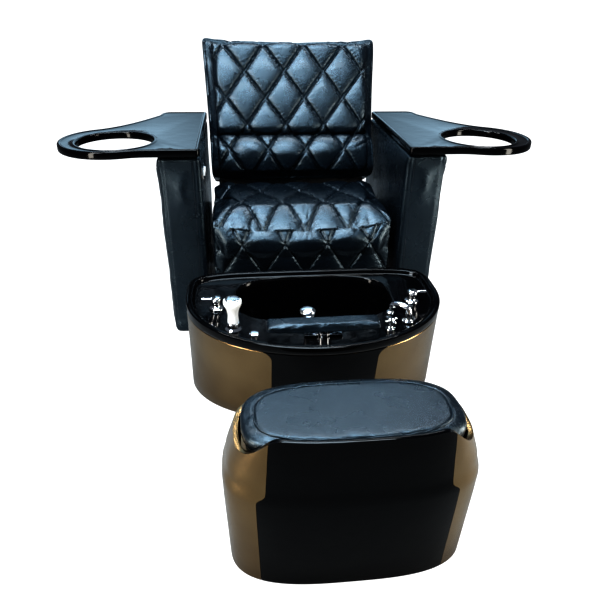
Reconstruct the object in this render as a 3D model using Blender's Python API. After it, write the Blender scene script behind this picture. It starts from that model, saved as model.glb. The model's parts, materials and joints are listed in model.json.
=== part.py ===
"""Pedicure spa chair: upholstered chair with swing trays, foot basin and rolling stool.

Datum: x = 0 is the centre plane, y = 0 is the front plane of the seat and z = 0 is the floor.
The chair faces -Y. The "datum" empty shifts everything so that the bounding box is centred.
"""
import math

import bmesh
import bpy
from mathutils import Matrix, Vector

# ---------------------------------------------------------------- driving dimensions (metres)
GAP = 0.0004
DATUM_Y = 0.132

SEAT_WIDTH = 0.600
SEAT_TOP = 0.442
SEAT_DEPTH = 0.405
SEAT_PAN_TOP = 0.2782
SEAT_PAN_THICK = 0.012
APRON_BOTTOM = 0.190
APRON_THICK = 0.055

ARM_INNER = 0.322
ARM_OUTER = 0.464
ARM_OUTER_FLOOR = 0.456
ARM_FRONT = -0.006
ARM_REAR = 0.585
ARM_TOP = 0.634
SHELL_FLOOR = 0.012

BACK_TILT = math.radians(26.0)
HINGE_Y = 0.455
HINGE_Z = 0.330
HINGE_PIN_R = 0.008
BACK_HEIGHT = 0.605
BACK_HALF_LOW = 0.306
BACK_HALF_TOP = 0.322
BACK_PLANE = -0.128
LEVER_REACH = 0.100
LEVER_ANGLE = math.radians(30.0)
BOARD_FRONT = -0.0326
BOARD_THICK = 0.018

ACTUATOR_Y = 0.100
ACTUATOR_Z = 0.165
ACTUATOR_ROD_R = 0.0092
BRACKET_X = 0.2645

TRAY_PIVOT = (0.393, 0.400)
TRAY_BOTTOM = ARM_TOP + 0.0038
TRAY_THICK = 0.024
RING_CENTRE = (0.602, 0.120)
RING_R = 0.160
BOWL_HOLE_CENTRE = (0.587, 0.106)
BOWL_HOLE_R = 0.117
POST_R = 0.016

BASIN_HALF = 0.372
BASIN_CENTRE_Y = -0.260
BASIN_FRONT_FLOOR = 0.235
BASIN_FRONT_RIM = 0.300
BASIN_REAR = 0.155
RIM_TOP = 0.300
RIM_BAND = 0.028
DECK_Z = 0.286
OPENING_HALF = 0.235
OPENING_CENTRE_Y = -0.265
OPENING_FRONT = 0.140
OPENING_REAR = 0.135
BOWL_FLOOR = 0.075
BOWL_WALL = 0.005
FRONT_PANEL_HALF = 0.140
BASIN_REAR_EDGE = 0.300

LEVER_PLACE = (0.283, -0.315)
SPRAY_PLACE = (-0.236, -0.430)
SPOUT_PLACE = (0.243, -0.425)
DIVERTER_PLACE = (0.182, -0.466)
BUTTON_PLACE = (-0.182, -0.470)
DRAIN_KNOB_PLACE = (0.200, -0.392)
FOOTREST_PLACE = (0.0, -0.478)
FOOT_POST_R = 0.011
FOOT_PAD_LOW = 0.310
LOCK_KNOB_PLACE = (-0.036, -0.418)
DRAIN_PLACE = (0.0, -0.285)
JET_Z = 0.150
VALVE_TOP = 0.306
SPOUT_TURN = math.radians(48.0)

FRAME_HALF = 0.270
FRAME_BEAM = 0.030
FRAME_LOW = 0.024
FRAME_FRONT = -0.300
FRAME_REAR = 0.560
FRONT_FOOT_Y = -0.270
REAR_FOOT_Y = 0.545
TOP_RAIL_FRONT = 0.100
TOP_RAIL_LOW = 0.225
TOP_RAIL_TOP = 0.245
RUNNER_X = 0.264
RUNNER_HALF = 0.014
RUNNER_THICK = 0.010

STOOL_Y = -0.877
STOOL_FLOOR = (0.262, 0.128)
STOOL_LEDGE_LOW = (0.268, 0.131)
STOOL_LEDGE_HIGH = (0.252, 0.124)
STOOL_RIM = (0.236, 0.120)
STOOL_LEDGE_Z = 0.250
STOOL_SIDE_TOP = 0.335
STOOL_LIP_TOP = 0.395
STOOL_WALL = 0.010
STOOL_PANEL_HALF = 0.195
STOOL_BOARD_Z = 0.055
STOOL_SEAT_Z = 0.285
STOOL_CUSHION_TOP = 0.366
STOOL_BOARD_THICK = 0.012
STOOL_POST = (0.110, 0.055)
STOOL_POST_HALF = 0.014
CASTER_PLACES = ((-0.165, -0.055), (0.165, -0.055), (-0.165, 0.055), (0.165, 0.055))
CASTER_R = 0.020
CASTER_TRAIL = 0.014
CASTER_STEM_R = 0.005

ROUND = 24
SMALL_ROUND = 14

FINISHES = {
    "black_leather": ((0.018, 0.020, 0.026), 0.38, 0.0),
    "gloss_black": ((0.012, 0.012, 0.014), 0.12, 0.0),
    "champagne_gold": ((0.46, 0.34, 0.19), 0.28, 1.0),
    "chrome": ((0.86, 0.87, 0.88), 0.08, 1.0),
    "white_plastic": ((0.82, 0.83, 0.84), 0.30, 0.0),
    "painted_steel": ((0.08, 0.08, 0.085), 0.45, 0.6),
    "zinc_steel": ((0.55, 0.56, 0.58), 0.35, 1.0),
    "plywood": ((0.46, 0.33, 0.20), 0.65, 0.0),
    "black_plastic": ((0.03, 0.03, 0.033), 0.50, 0.0),
    "rubber": ((0.035, 0.035, 0.035), 0.80, 0.0),
}


# ---------------------------------------------------------------- tools
def clear_scene():
    for thing in list(bpy.data.objects):
        bpy.data.objects.remove(thing, do_unlink=True)


def get_finish(name):
    """The shared material of one finish, made the first time that it is asked for."""
    material = bpy.data.materials.get(name)
    if material is None:
        colour, roughness, metallic = FINISHES[name]
        material = bpy.data.materials.new(name)
        material.use_nodes = True
        shader = material.node_tree.nodes["Principled BSDF"]
        shader.inputs["Base Color"].default_value = (*colour, 1.0)
        shader.inputs["Roughness"].default_value = roughness
        shader.inputs["Metallic"].default_value = metallic
    return material


def pivot(name, parent=None, location=(0.0, 0.0, 0.0), rotation=(0.0, 0.0, 0.0)):
    """An empty on a joint's axis, which carries the pieces of one moving body."""
    empty = bpy.data.objects.new(name, None)
    empty.location = location
    empty.rotation_euler = rotation
    empty.parent = parent
    bpy.context.collection.objects.link(empty)
    return empty


def link(shape, name, finish=None, parent=None, location=(0.0, 0.0, 0.0)):
    """Turn a bmesh into a linked object and free the bmesh."""
    mesh = bpy.data.meshes.new(name)
    shape.to_mesh(mesh)
    shape.free()
    piece = bpy.data.objects.new(name, mesh)
    piece.location = location
    piece.parent = parent
    if finish:
        mesh.materials.append(get_finish(finish))
    bpy.context.collection.objects.link(piece)
    return piece


def smooth(piece, angle=40.0):
    """Smooth shading that keeps edges sharper than the angle."""
    for face in piece.data.polygons:
        face.use_smooth = True
    piece.data.set_sharp_from_angle(angle=math.radians(angle))
    return piece


def bake(piece):
    """Replace the mesh with its evaluated form and drop the modifiers."""
    finish = piece.data.materials[0] if piece.data.materials else None
    graph = bpy.context.evaluated_depsgraph_get()
    mesh = bpy.data.meshes.new_from_object(piece.evaluated_get(graph))
    piece.modifiers.clear()
    piece.data = mesh
    mesh.materials.clear()
    if finish:
        mesh.materials.append(finish)
    return piece


def combine(piece, shape, operation):
    """Boolean the piece with a bmesh given in the piece's own coordinates."""
    tool = link(shape, "tool")
    holder = piece.parent
    place = piece.location.copy()
    piece.parent = None
    piece.location = (0.0, 0.0, 0.0)
    modifier = piece.modifiers.new("combine", "BOOLEAN")
    modifier.operation = operation
    modifier.solver = "EXACT"
    modifier.object = tool
    bpy.context.view_layer.update()
    bake(piece)
    bpy.data.objects.remove(tool, do_unlink=True)
    piece.parent = holder
    piece.location = place
    return piece


def cut(piece, shape):
    return combine(piece, shape, "DIFFERENCE")


def weld(piece, shape):
    return combine(piece, shape, "UNION")


def bevel(piece, width, segments=2, angle=30.0):
    modifier = piece.modifiers.new("bevel", "BEVEL")
    modifier.width = width
    modifier.segments = segments
    modifier.limit_method = "ANGLE"
    modifier.angle_limit = math.radians(angle)
    return piece


def box(low, high):
    """A box between two opposite corners."""
    shape = bmesh.new()
    bmesh.ops.create_cube(shape, size=1.0)
    for vert in shape.verts:
        vert.co = Vector(high[i] if vert.co[i] > 0 else low[i] for i in range(3))
    return shape


def slab(half, y_low, y_high, z_low, z_high):
    """A box centred on x = 0."""
    return box((-half, y_low, z_low), (half, y_high, z_high))


def loft(rings, loop=False, strip_caps=False):
    """Skin equal rings of points; the ends are capped unless the rings loop round.

    A strip cap suits a thin section whose points run up one face and back down the other.
    """
    shape = bmesh.new()
    rows = [[shape.verts.new(point) for point in ring] for ring in rings]
    pairs = list(zip(rows, rows[1:]))
    if loop:
        pairs.append((rows[-1], rows[0]))
    for lower, upper in pairs:
        for i in range(len(lower)):
            j = (i + 1) % len(lower)
            shape.faces.new((lower[i], lower[j], upper[j], upper[i]))
    for row in () if loop else (rows[0], rows[-1]):
        if strip_caps:
            for i in range(len(row) // 2 - 1):
                shape.faces.new((row[i], row[i + 1], row[-2 - i], row[-1 - i]))
        else:
            shape.faces.new(row)
    bmesh.ops.recalc_face_normals(shape, faces=shape.faces)
    return shape


def lathe(profile, segments=ROUND, loop=False):
    """Turn (radius, z) points about the Z axis."""
    turns = [2.0 * math.pi * i / segments for i in range(segments)]
    rings = [[(r * math.cos(t), r * math.sin(t), z) for t in turns] for r, z in profile]
    return loft(rings, loop)


def tube(outer, inner, z_low, z_high, segments=ROUND):
    return lathe([(outer, z_low), (outer, z_high), (inner, z_high), (inner, z_low)], segments, True)


def rod(radius, z_low, z_high, segments=SMALL_ROUND):
    return lathe([(radius, z_low), (radius, z_high)], segments)


def moved(shape, offset=(0.0, 0.0, 0.0), turn=0.0, axis="Z"):
    """Turn a bmesh about an axis through the origin and then shift it."""
    bmesh.ops.transform(shape, matrix=Matrix.Rotation(turn, 4, axis), verts=shape.verts)
    bmesh.ops.translate(shape, vec=Vector(offset), verts=shape.verts)
    return shape


def prism(outline, z_low, z_high):
    return loft([[(x, y, z) for x, y in outline] for z in (z_low, z_high)])


def arc(centre, radius, start, end, steps):
    """Points on an arc, angles in degrees."""
    turns = [math.radians(start + (end - start) * i / steps) for i in range(steps + 1)]
    return [(centre[0] + radius * math.cos(t), centre[1] + radius * math.sin(t)) for t in turns]


def bezier(points, steps):
    """The points of a cubic curve, ends left out."""
    found = []
    for i in range(1, steps):
        t = i / steps
        weights = ((1 - t) ** 3, 3 * t * (1 - t) ** 2, 3 * t * t * (1 - t), t ** 3)
        found.append(tuple(sum(w * p[k] for w, p in zip(weights, points)) for k in range(2)))
    return found


def superellipse(angle, half_x, half_y, power):
    """A point on a rounded rectangle's outline."""
    c = math.cos(angle)
    s = math.sin(angle)
    x = half_x * math.copysign(abs(c) ** (2.0 / power), c)
    y = half_y * math.copysign(abs(s) ** (2.0 / power), s)
    return x, y


def inset_point(outline, angle, inset):
    """The outline's point at an angle, moved inwards along its normal."""
    step = 0.004
    x, y = outline(angle)
    ahead = outline(angle + step)
    behind = outline(angle - step)
    tangent = Vector((ahead[0] - behind[0], ahead[1] - behind[1])).normalized()
    return x - tangent.y * inset, y + tangent.x * inset


def angle_at(outline, goal, start, end):
    """The angle between start and end at which the outline reaches x = goal."""
    low, high = start, end
    rising = outline(end)[0] > outline(start)[0]
    for _ in range(40):
        middle = 0.5 * (low + high)
        if (outline(middle)[0] < goal) == rising:
            low = middle
        else:
            high = middle
    return low


def place_at(spot, z=0.0):
    return (spot[0], spot[1], z)


def mirrored(shape, side):
    """Flip a bmesh across x = 0 when side is -1."""
    bmesh.ops.scale(shape, vec=(side, 1.0, 1.0), verts=shape.verts)
    bmesh.ops.recalc_face_normals(shape, faces=shape.faces)
    return shape


def reshape(piece, change):
    """Run a change on the mesh of a piece that is already in place."""
    shape = bmesh.new()
    shape.from_mesh(piece.data)
    change(shape).to_mesh(piece.data)
    shape.free()
    return piece


def lying(shape):
    """Lay an upright bmesh along the X axis."""
    return moved(shape, turn=math.pi / 2.0, axis="Y")


# ---------------------------------------------------------------- chair base
def build_base(datum):
    """Floor frame with its feet, the slide rails on it, the rear panel and the power inlet."""
    half = FRAME_BEAM / 2.0
    beam_top = FRAME_LOW + FRAME_BEAM
    outer = FRAME_HALF + half
    runner = box((FRAME_HALF - half, FRAME_FRONT, FRAME_LOW), (outer, FRAME_REAR, beam_top))
    frame = link(runner, "base_frame", "painted_steel", datum)
    weld(frame, box((-outer, FRAME_FRONT, FRAME_LOW), (half - FRAME_HALF, FRAME_REAR, beam_top)))
    for y in (-0.090, 0.155, FRAME_REAR - FRAME_BEAM):
        weld(frame, slab(FRAME_HALF, y, y + FRAME_BEAM, FRAME_LOW + 0.002, beam_top - 0.002))
    for side in (-1.0, 1.0):
        for y in (0.155, FRAME_REAR - FRAME_BEAM):
            rear = y + FRAME_BEAM - 0.001
            post = slab(half - 0.001, y + 0.001, rear, beam_top - 0.004, TOP_RAIL_TOP - 0.005)
            weld(frame, moved(post, (side * FRAME_HALF, 0.0, 0.0)))
        rail = slab(half, TOP_RAIL_FRONT, FRAME_REAR, TOP_RAIL_LOW, TOP_RAIL_TOP)
        weld(frame, moved(rail, (side * FRAME_HALF, 0.0, 0.0)))
        for y in (FRONT_FOOT_Y, REAR_FOOT_Y):
            profile = [(0.022, 0.0), (0.023, 0.003), (0.015, 0.008), (0.008, 0.010), (0.008, 0.030)]
            weld(frame, moved(lathe(profile, SMALL_ROUND), (side * FRAME_HALF, y, 0.0)))
    smooth(frame)

    panel_half = ARM_INNER - 0.003
    panel = link(slab(panel_half, 0.565, 0.581, SHELL_FLOOR, 0.300), "rear_panel", "black_leather", datum)
    bevel(panel, 0.003)

    low = TOP_RAIL_TOP + GAP
    inner = RUNNER_X - RUNNER_HALF + 0.001
    strap = 0.0046
    rails = link(slab(inner, 0.150, 0.170, low, low + strap), "slide_rails", "zinc_steel", datum)
    weld(rails, slab(inner, 0.535, 0.555, low, low + strap))
    for side in (-1.0, 1.0):
        rail = slab(RUNNER_HALF, 0.120, 0.558, low, low + RUNNER_THICK)
        weld(rails, moved(rail, (side * RUNNER_X, 0.0, 0.0)))

    build_inlet(datum)


def build_inlet(datum):
    """Recessed power inlet with three pins, low on the rear panel."""
    x, z = 0.200, 0.105
    rear = 0.5814
    inlet = link(box((x - 0.028, rear, z - 0.020), (x + 0.028, 0.600, z + 0.020)), "power_inlet",
                 "black_plastic", datum)
    cut(inlet, box((x - 0.020, rear + 0.0046, z - 0.013), (x + 0.020, 0.610, z + 0.013)))
    for pin_x, pin_z in ((x - 0.010, z - 0.003), (x, z + 0.005), (x + 0.010, z - 0.003)):
        weld(inlet, box((pin_x - 0.002, rear + 0.003, pin_z - 0.001), (pin_x + 0.002, 0.592, pin_z + 0.001)))


def build_arm(datum, side):
    """One upholstered arm, standing on the floor, bored for its tray's bush."""
    rings = []
    for z, outer in ((SHELL_FLOOR, ARM_OUTER_FLOOR), (ARM_TOP, ARM_OUTER)):
        corners = ((ARM_INNER, ARM_FRONT), (outer, ARM_FRONT), (outer, ARM_REAR), (ARM_INNER, ARM_REAR))
        rings.append([place_at(corner, z) for corner in corners])
    label = "left" if side < 0 else "right"
    arm = bevel(link(mirrored(loft(rings), side), "arm_" + label, "black_leather", datum), 0.018, 3)
    hole = rod(0.0200, ARM_TOP - 0.060, ARM_TOP + 0.01, ROUND)
    cut(arm, moved(hole, (side * TRAY_PIVOT[0], TRAY_PIVOT[1], 0.0)))
    smooth(arm)


def build_switches(datum):
    """A plate on the inner face of the left arm with two rocker switches."""
    x = -ARM_INNER + GAP
    plate_z = 0.565
    plate = link(box((x, 0.050, plate_z - 0.015), (x + 0.003, 0.130, plate_z + 0.015)), "switch_plate",
                 "chrome", datum)
    for name, y in (("recline_switch", 0.072), ("slide_switch", 0.108)):
        cut(plate, box((x - 0.01, y - 0.0135, plate_z - 0.009), (x + 0.01, y + 0.0135, plate_z + 0.009)))
        body = pivot(name + "_pivot", datum, (x + 0.0045, y, plate_z))
        rocker = link(box((-0.0020, -0.011, -0.0075), (0.0030, 0.011, 0.0075)), name, "white_plastic", body)
        bevel(rocker, 0.0012)


# ---------------------------------------------------------------- seat carriage
def build_carriage(carriage):
    """Seat board with its front board, the seat cushion and the padded apron below it."""
    front = APRON_THICK + 0.0008
    low = SEAT_PAN_TOP - SEAT_PAN_THICK
    pan = link(slab(0.285, front, 0.375, low, SEAT_PAN_TOP), "seat_pan", "plywood", carriage)
    weld(pan, slab(0.225, front, front + 0.0132, APRON_BOTTOM + 0.01, low + 0.004))

    half = SEAT_WIDTH / 2.0
    cushion = slab(half, 0.0, SEAT_DEPTH, SEAT_PAN_TOP + GAP, SEAT_TOP)
    smooth(bevel(link(cushion, "seat_cushion", "black_leather", carriage), 0.030, 4), 60.0)
    apron = slab(half - 0.006, 0.004, APRON_THICK, APRON_BOTTOM, SEAT_PAN_TOP)
    smooth(bevel(link(apron, "seat_apron", "black_leather", carriage), 0.016, 3), 60.0)


def build_carriage_frame(carriage):
    """Welded frame that slides on the rails: runners, hinge brackets with pins and actuator clevis."""
    low = TOP_RAIL_TOP + RUNNER_THICK + 2.0 * GAP
    top = low + RUNNER_THICK
    inner = RUNNER_X - RUNNER_HALF + 0.002
    bracket = 0.0030
    frame = link(slab(inner, 0.085, 0.115, low + GAP, top - GAP), "carriage_frame", "painted_steel", carriage)
    weld(frame, slab(inner, 0.505, 0.525, low + GAP, top - GAP))
    for side in (-1.0, 1.0):
        weld(frame, moved(slab(RUNNER_HALF, 0.070, 0.530, low, top), (side * RUNNER_X, 0.0, 0.0)))
        plate = slab(bracket, 0.408, 0.500, top - 0.002, HINGE_Z + 0.020)
        weld(frame, moved(plate, (side * BRACKET_X, 0.0, 0.0)))
        pin = lying(rod(HINGE_PIN_R, -0.01125, 0.01125))
        weld(frame, moved(pin, (side * (BRACKET_X - 0.00875), HINGE_Y, HINGE_Z)))
        ear = slab(0.0025, ACTUATOR_Y - 0.012, ACTUATOR_Y + 0.012, ACTUATOR_Z - 0.012, low + 0.002)
        weld(frame, moved(ear, (side * 0.0145, 0.0, 0.0)))
    weld(frame, moved(lying(rod(0.005, -0.0160, 0.0160)), (0.0, ACTUATOR_Y, ACTUATOR_Z)))
    smooth(frame)


def build_actuator(actuator, piston, reach):
    """Electric actuator along its own +Z: a tube with its motor, and the rod that it drives."""
    tube_low, tube_high = 0.036, 0.200
    motor_y = 0.034
    body = link(rod(0.0200, tube_low, tube_high, ROUND), "actuator_body", "black_plastic", actuator)
    weld(body, slab(0.0105, -0.0120, 0.0120, -0.011, tube_low + 0.006))
    weld(body, moved(rod(0.0190, 0.040, 0.140, ROUND), (0.0, motor_y, 0.0)))
    weld(body, slab(0.0150, 0.005, motor_y - 0.004, 0.044, 0.074))
    cut(body, rod(ACTUATOR_ROD_R + 0.0006, 0.060, tube_high + 0.01, ROUND))
    cut(body, lying(rod(0.0055, -0.02, 0.02)))
    smooth(body)

    shaft = link(rod(ACTUATOR_ROD_R, 0.110 - reach, -0.010, ROUND), "actuator_rod", "chrome", piston)
    weld(shaft, lying(rod(0.0150, -0.0095, 0.0095, ROUND)))
    cut(shaft, lying(rod(0.0095, -0.02, 0.02, ROUND)))
    smooth(shaft)


# ---------------------------------------------------------------- backrest
def back_half(z):
    """Half the back's width at a height above its hinge."""
    return BACK_HALF_LOW + (BACK_HALF_TOP - BACK_HALF_LOW) * z / BACK_HEIGHT


def build_back(back):
    """Frame, cushion and rear shell in the back's own upright coordinates."""
    board = slab(0.285, BOARD_FRONT, BOARD_FRONT + BOARD_THICK, 0.060, BACK_HEIGHT - 0.020)
    frame = link(board, "back_frame", "painted_steel", back)
    plate = 0.003
    for side in (-1.0, 1.0):
        hinge_plate = slab(plate, BOARD_FRONT + 0.002, 0.020, -0.020, 0.074)
        weld(frame, moved(hinge_plate, (side * (BRACKET_X - 0.014), 0.0, 0.0)))
        for strut in (slab(plate, -0.028, 0.010, -0.012, 0.074), lever_arm(plate)):
            weld(frame, moved(strut, (side * 0.0150, 0.0, 0.0)))
    cut(frame, lying(rod(HINGE_PIN_R + GAP, -0.30, 0.30)))
    pin_spot = (0.0, LEVER_REACH * math.sin(LEVER_ANGLE), -LEVER_REACH * math.cos(LEVER_ANGLE))
    weld(frame, moved(lying(rod(0.004, -0.0170, 0.0170)), pin_spot))
    smooth(frame)

    build_back_cushion(back)
    build_back_shell(back)


def lever_arm(half):
    """The recline lever, from the hinge down and rearwards to the actuator's pin."""
    return moved(slab(half, -0.012, 0.012, -LEVER_REACH - 0.012, 0.006), turn=LEVER_ANGLE, axis="X")


def build_back_cushion(back):
    """Cushion with a lumbar roll at its foot and a crease above the roll."""
    low = 0.085
    roll = 0.042
    crease = 0.238
    corner = 0.030
    rear = BOARD_FRONT - GAP
    profile = [(rear, low + 0.004), (rear - 0.060, low)]
    profile += arc((-0.118, low + roll), roll, 262.0, 186.0, 5)
    profile += [(-0.163, 0.165), (-0.158, 0.196), (-0.146, 0.220), (-0.131, crease)]
    profile += [(BACK_PLANE - 0.004, 0.262), (BACK_PLANE - 0.006, 0.420), (BACK_PLANE - 0.003, 0.540)]
    profile += arc((BACK_PLANE + corner, BACK_HEIGHT - corner), corner, 180.0, 90.0, 4)
    profile += arc((rear - 0.022, BACK_HEIGHT - 0.022), 0.022, 90.0, 0.0, 3)
    rings = [[(share * back_half(z), y, z) for y, z in profile] for share in (-1.0, 1.0)]
    cushion = link(loft(rings), "back_cushion", "black_leather", back)
    smooth(bevel(cushion, 0.014, 3, 50.0), 60.0)


def build_back_shell(back):
    """Padded rear cover, hollow in front where it takes the frame's board."""
    front = BOARD_FRONT + BOARD_THICK + GAP
    shell = link(slab(1.0, front, 0.030, 0.080, BACK_HEIGHT - 0.004), "back_shell", "black_leather", back)
    for vert in shell.data.vertices:
        inset = 0.020 if vert.co.y > 0.0 else 0.004
        vert.co.x = math.copysign(back_half(vert.co.z) - inset, vert.co.x)
    bevel(shell, 0.008, 3)
    bpy.context.view_layer.update()
    bake(shell)
    cut(shell, slab(0.270, front - 0.01, 0.024, 0.096, BACK_HEIGHT - 0.024))
    smooth(shell)


# ---------------------------------------------------------------- trays
def tray_outline():
    """Outline of the right-hand tray, anticlockwise from its inner front corner."""
    x, y = RING_CENTRE
    front = y - RING_R + 0.020
    inner = ARM_INNER
    rear = 0.556
    corner = 0.012
    taper = math.radians(62.0)
    join = (x + RING_R * math.cos(taper), y + RING_R * math.sin(taper))
    outline = arc((inner + corner, front + corner), corner, 180.0, 270.0, 3)
    outline += [(0.480, front)]
    outline += bezier([(0.480, front), (0.530, front), (0.548, front - 0.018), (0.590, front - 0.020)], 5)
    outline += arc(RING_CENTRE, RING_R, -92.0, 62.0, 16)
    outline += bezier([join, (join[0] - 0.080, join[1] + 0.042), (0.541, 0.405), (0.488, 0.508)], 6)
    outline += arc((0.455, rear - 0.034), 0.034, 10.0, 90.0, 5)
    outline += arc((inner + corner, rear - corner), corner, 90.0, 180.0, 3)
    return outline


def build_tray(tray, side):
    """Flat tray with a bowl ring and its post, in coordinates about the post."""
    label = "left" if side < 0 else "right"
    top = TRAY_BOTTOM + TRAY_THICK
    plate = link(prism(tray_outline(), TRAY_BOTTOM, top), "tray_" + label, "gloss_black", tray)
    hole = rod(BOWL_HOLE_R, TRAY_BOTTOM - 0.01, top + 0.01, 28)
    cut(plate, moved(hole, place_at(BOWL_HOLE_CENTRE)))
    bevel(plate, 0.004, 1, 50.0)
    bpy.context.view_layer.update()
    bake(plate)
    weld(plate, moved(rod(POST_R, ARM_TOP - 0.054, TRAY_BOTTOM + 0.004, ROUND), place_at(TRAY_PIVOT)))
    offset = (-TRAY_PIVOT[0], -TRAY_PIVOT[1], 0.0)
    smooth(reshape(plate, lambda shape: mirrored(moved(shape, offset), side)))


def build_tray_bush(datum, side):
    """The bush that carries a tray's post, with a washer between arm and tray."""
    foot = ARM_TOP - 0.058
    top = TRAY_BOTTOM - GAP
    bore = POST_R + GAP
    low = ARM_TOP + GAP
    profile = [(0.0196, foot), (0.0196, low), (0.028, low), (0.028, top), (bore, top), (bore, foot)]
    label = "left" if side < 0 else "right"
    place = (side * TRAY_PIVOT[0], TRAY_PIVOT[1], 0.0)
    smooth(link(lathe(profile, ROUND, True), "tray_bush_" + label, "white_plastic", datum, place))


# ---------------------------------------------------------------- basin
def basin_outline(z):
    """The basin's outline at a height: half an ellipse in front and a squarer rear."""
    front = BASIN_FRONT_FLOOR + (BASIN_FRONT_RIM - BASIN_FRONT_FLOOR) * z / RIM_TOP

    def outline(angle):
        if math.sin(angle) < 0.0:
            x, y = superellipse(angle, BASIN_HALF, front, 2.05)
        else:
            x, y = superellipse(angle, BASIN_HALF, BASIN_REAR, 5.0)
        return x, BASIN_CENTRE_Y + y

    return outline


def opening_outline(share):
    """The bowl's outline, drawn in by a share of its size."""

    def outline(angle):
        reach, power = (OPENING_FRONT, 2.7) if math.sin(angle) < 0.0 else (OPENING_REAR, 3.2)
        x, y = superellipse(angle, OPENING_HALF * share, reach * share, power)
        return x, OPENING_CENTRE_Y + y

    return outline


def ring_of(outline, z, inset, steps):
    """One horizontal ring of points on an outline."""
    turns = [2.0 * math.pi * i / steps for i in range(steps)]
    return [(*inset_point(outline, t, inset), z) for t in turns]


def build_tub(datum):
    steps = 48
    skirt = RIM_TOP - RIM_BAND
    rim = basin_outline(RIM_TOP)
    rings = [ring_of(basin_outline(skirt), skirt, 0.0, steps), ring_of(rim, RIM_TOP - 0.005, -0.001, steps)]
    rings += [ring_of(rim, RIM_TOP - 0.001, 0.002, steps), ring_of(rim, RIM_TOP, 0.006, steps)]
    rings += [ring_of(rim, RIM_TOP, 0.014, steps), ring_of(rim, RIM_TOP - 0.003, 0.019, steps)]
    rings += [ring_of(rim, DECK_Z + 0.003, 0.023, steps), ring_of(rim, DECK_Z, 0.028, steps)]
    levels = ((1.00, DECK_Z), (0.975, DECK_Z - 0.004), (0.955, DECK_Z - 0.016), (0.90, 0.200), (0.84, 0.120))
    levels += ((0.80, BOWL_FLOOR + 0.020), (0.72, BOWL_FLOOR + 0.005), (0.60, BOWL_FLOOR))
    rings += [ring_of(opening_outline(share), z, 0.0, steps) for share, z in levels]
    drain = arc(DRAIN_PLACE, 0.0225, 0.0, 360.0, steps)[:-1]
    rings.append([place_at(point, BOWL_FLOOR) for point in drain])
    rings.append([place_at(point, BOWL_FLOOR - BOWL_WALL) for point in drain])
    for share, z in reversed(levels[1:]):
        rings.append(ring_of(opening_outline(share), z - BOWL_WALL * 0.6, -BOWL_WALL, steps))
    rings.append(ring_of(opening_outline(1.0), DECK_Z - BOWL_WALL, -0.006, steps))
    rings.append(ring_of(rim, DECK_Z - BOWL_WALL, 0.022, steps))
    rings.append(ring_of(basin_outline(skirt), skirt, 0.005, steps))
    tub = link(loft(rings, True), "basin_tub", "gloss_black", datum)
    holes = [((side * LEVER_PLACE[0], LEVER_PLACE[1]), 0.0125) for side in (-1.0, 1.0)]
    holes += [(SPRAY_PLACE, 0.0145), (SPOUT_PLACE, 0.0105), (DIVERTER_PLACE, 0.0085), (BUTTON_PLACE, 0.0085)]
    holes += [(DRAIN_KNOB_PLACE, 0.0055), (FOOTREST_PLACE, FOOT_POST_R + 0.0015)]
    for spot, radius in holes:
        cut(tub, moved(rod(radius, DECK_Z - 0.012, DECK_Z + 0.012), place_at(spot)))
    cut(tub, moved(rod(0.0312, -0.200, -0.110, ROUND), (0.0, 0.0, JET_Z), -math.pi / 2.0, "X"))
    smooth(tub)


def panel_split(z):
    """Half the width of the black centre panel; it flares into the rim band at the top."""
    flare = 0.030
    start = RIM_TOP - RIM_BAND - flare
    if z <= start:
        return FRONT_PANEL_HALF
    rise = min(1.0, (z - start) / flare)
    return FRONT_PANEL_HALF + flare * (1.0 - math.sqrt(max(0.0, 1.0 - rise * rise)))


def basin_wall(span, steps, thickness=0.005):
    """A strip of the basin's wall; span gives its first and last angle at a height."""
    top = RIM_TOP - RIM_BAND - GAP
    heights = [SHELL_FLOOR - 0.004, 0.140, top - 0.030, top - 0.018, top - 0.009, top - 0.003, top]
    section = [(z, 0.0) for z in heights] + [(z, thickness) for z in reversed(heights)]
    rings = []
    for i in range(steps + 1):
        ring = []
        for z, inset in section:
            first, last = span(z)
            angle = first + (last - first) * i / steps
            ring.append((*inset_point(basin_outline(z), angle, inset), z))
        rings.append(ring)
    return loft(rings, strip_caps=True)


def build_basin_walls(datum):
    quarter = math.pi / 2.0

    def centre_span(z):
        half = panel_split(z) - GAP
        outline = basin_outline(z)
        return angle_at(outline, -half, -2.0 * quarter, -quarter), angle_at(outline, half, -quarter, 0.0)

    def right_span(z):
        outline = basin_outline(z)
        first = angle_at(outline, panel_split(z), -quarter, 0.0)
        return first, angle_at(outline, BASIN_REAR_EDGE, quarter, 0.05)

    smooth(link(basin_wall(centre_span, 12), "basin_front_panel", "gloss_black", datum))
    for side, label in ((-1.0, "left"), (1.0, "right")):
        shape = mirrored(basin_wall(right_span, 20), side)
        smooth(link(shape, "basin_side_" + label, "champagne_gold", datum))

    pan_outline = basin_outline(SHELL_FLOOR)
    rings = [ring_of(pan_outline, z, 0.010, 48) for z in (SHELL_FLOOR, SHELL_FLOOR + 0.006)]
    pan = link(loft(rings), "basin_base_pan", "painted_steel", datum)
    for side in (-1.0, 1.0):
        cut(pan, moved(rod(0.026, 0.0, 0.030), (side * FRAME_HALF, FRONT_FOOT_Y, 0.0)))


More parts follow.
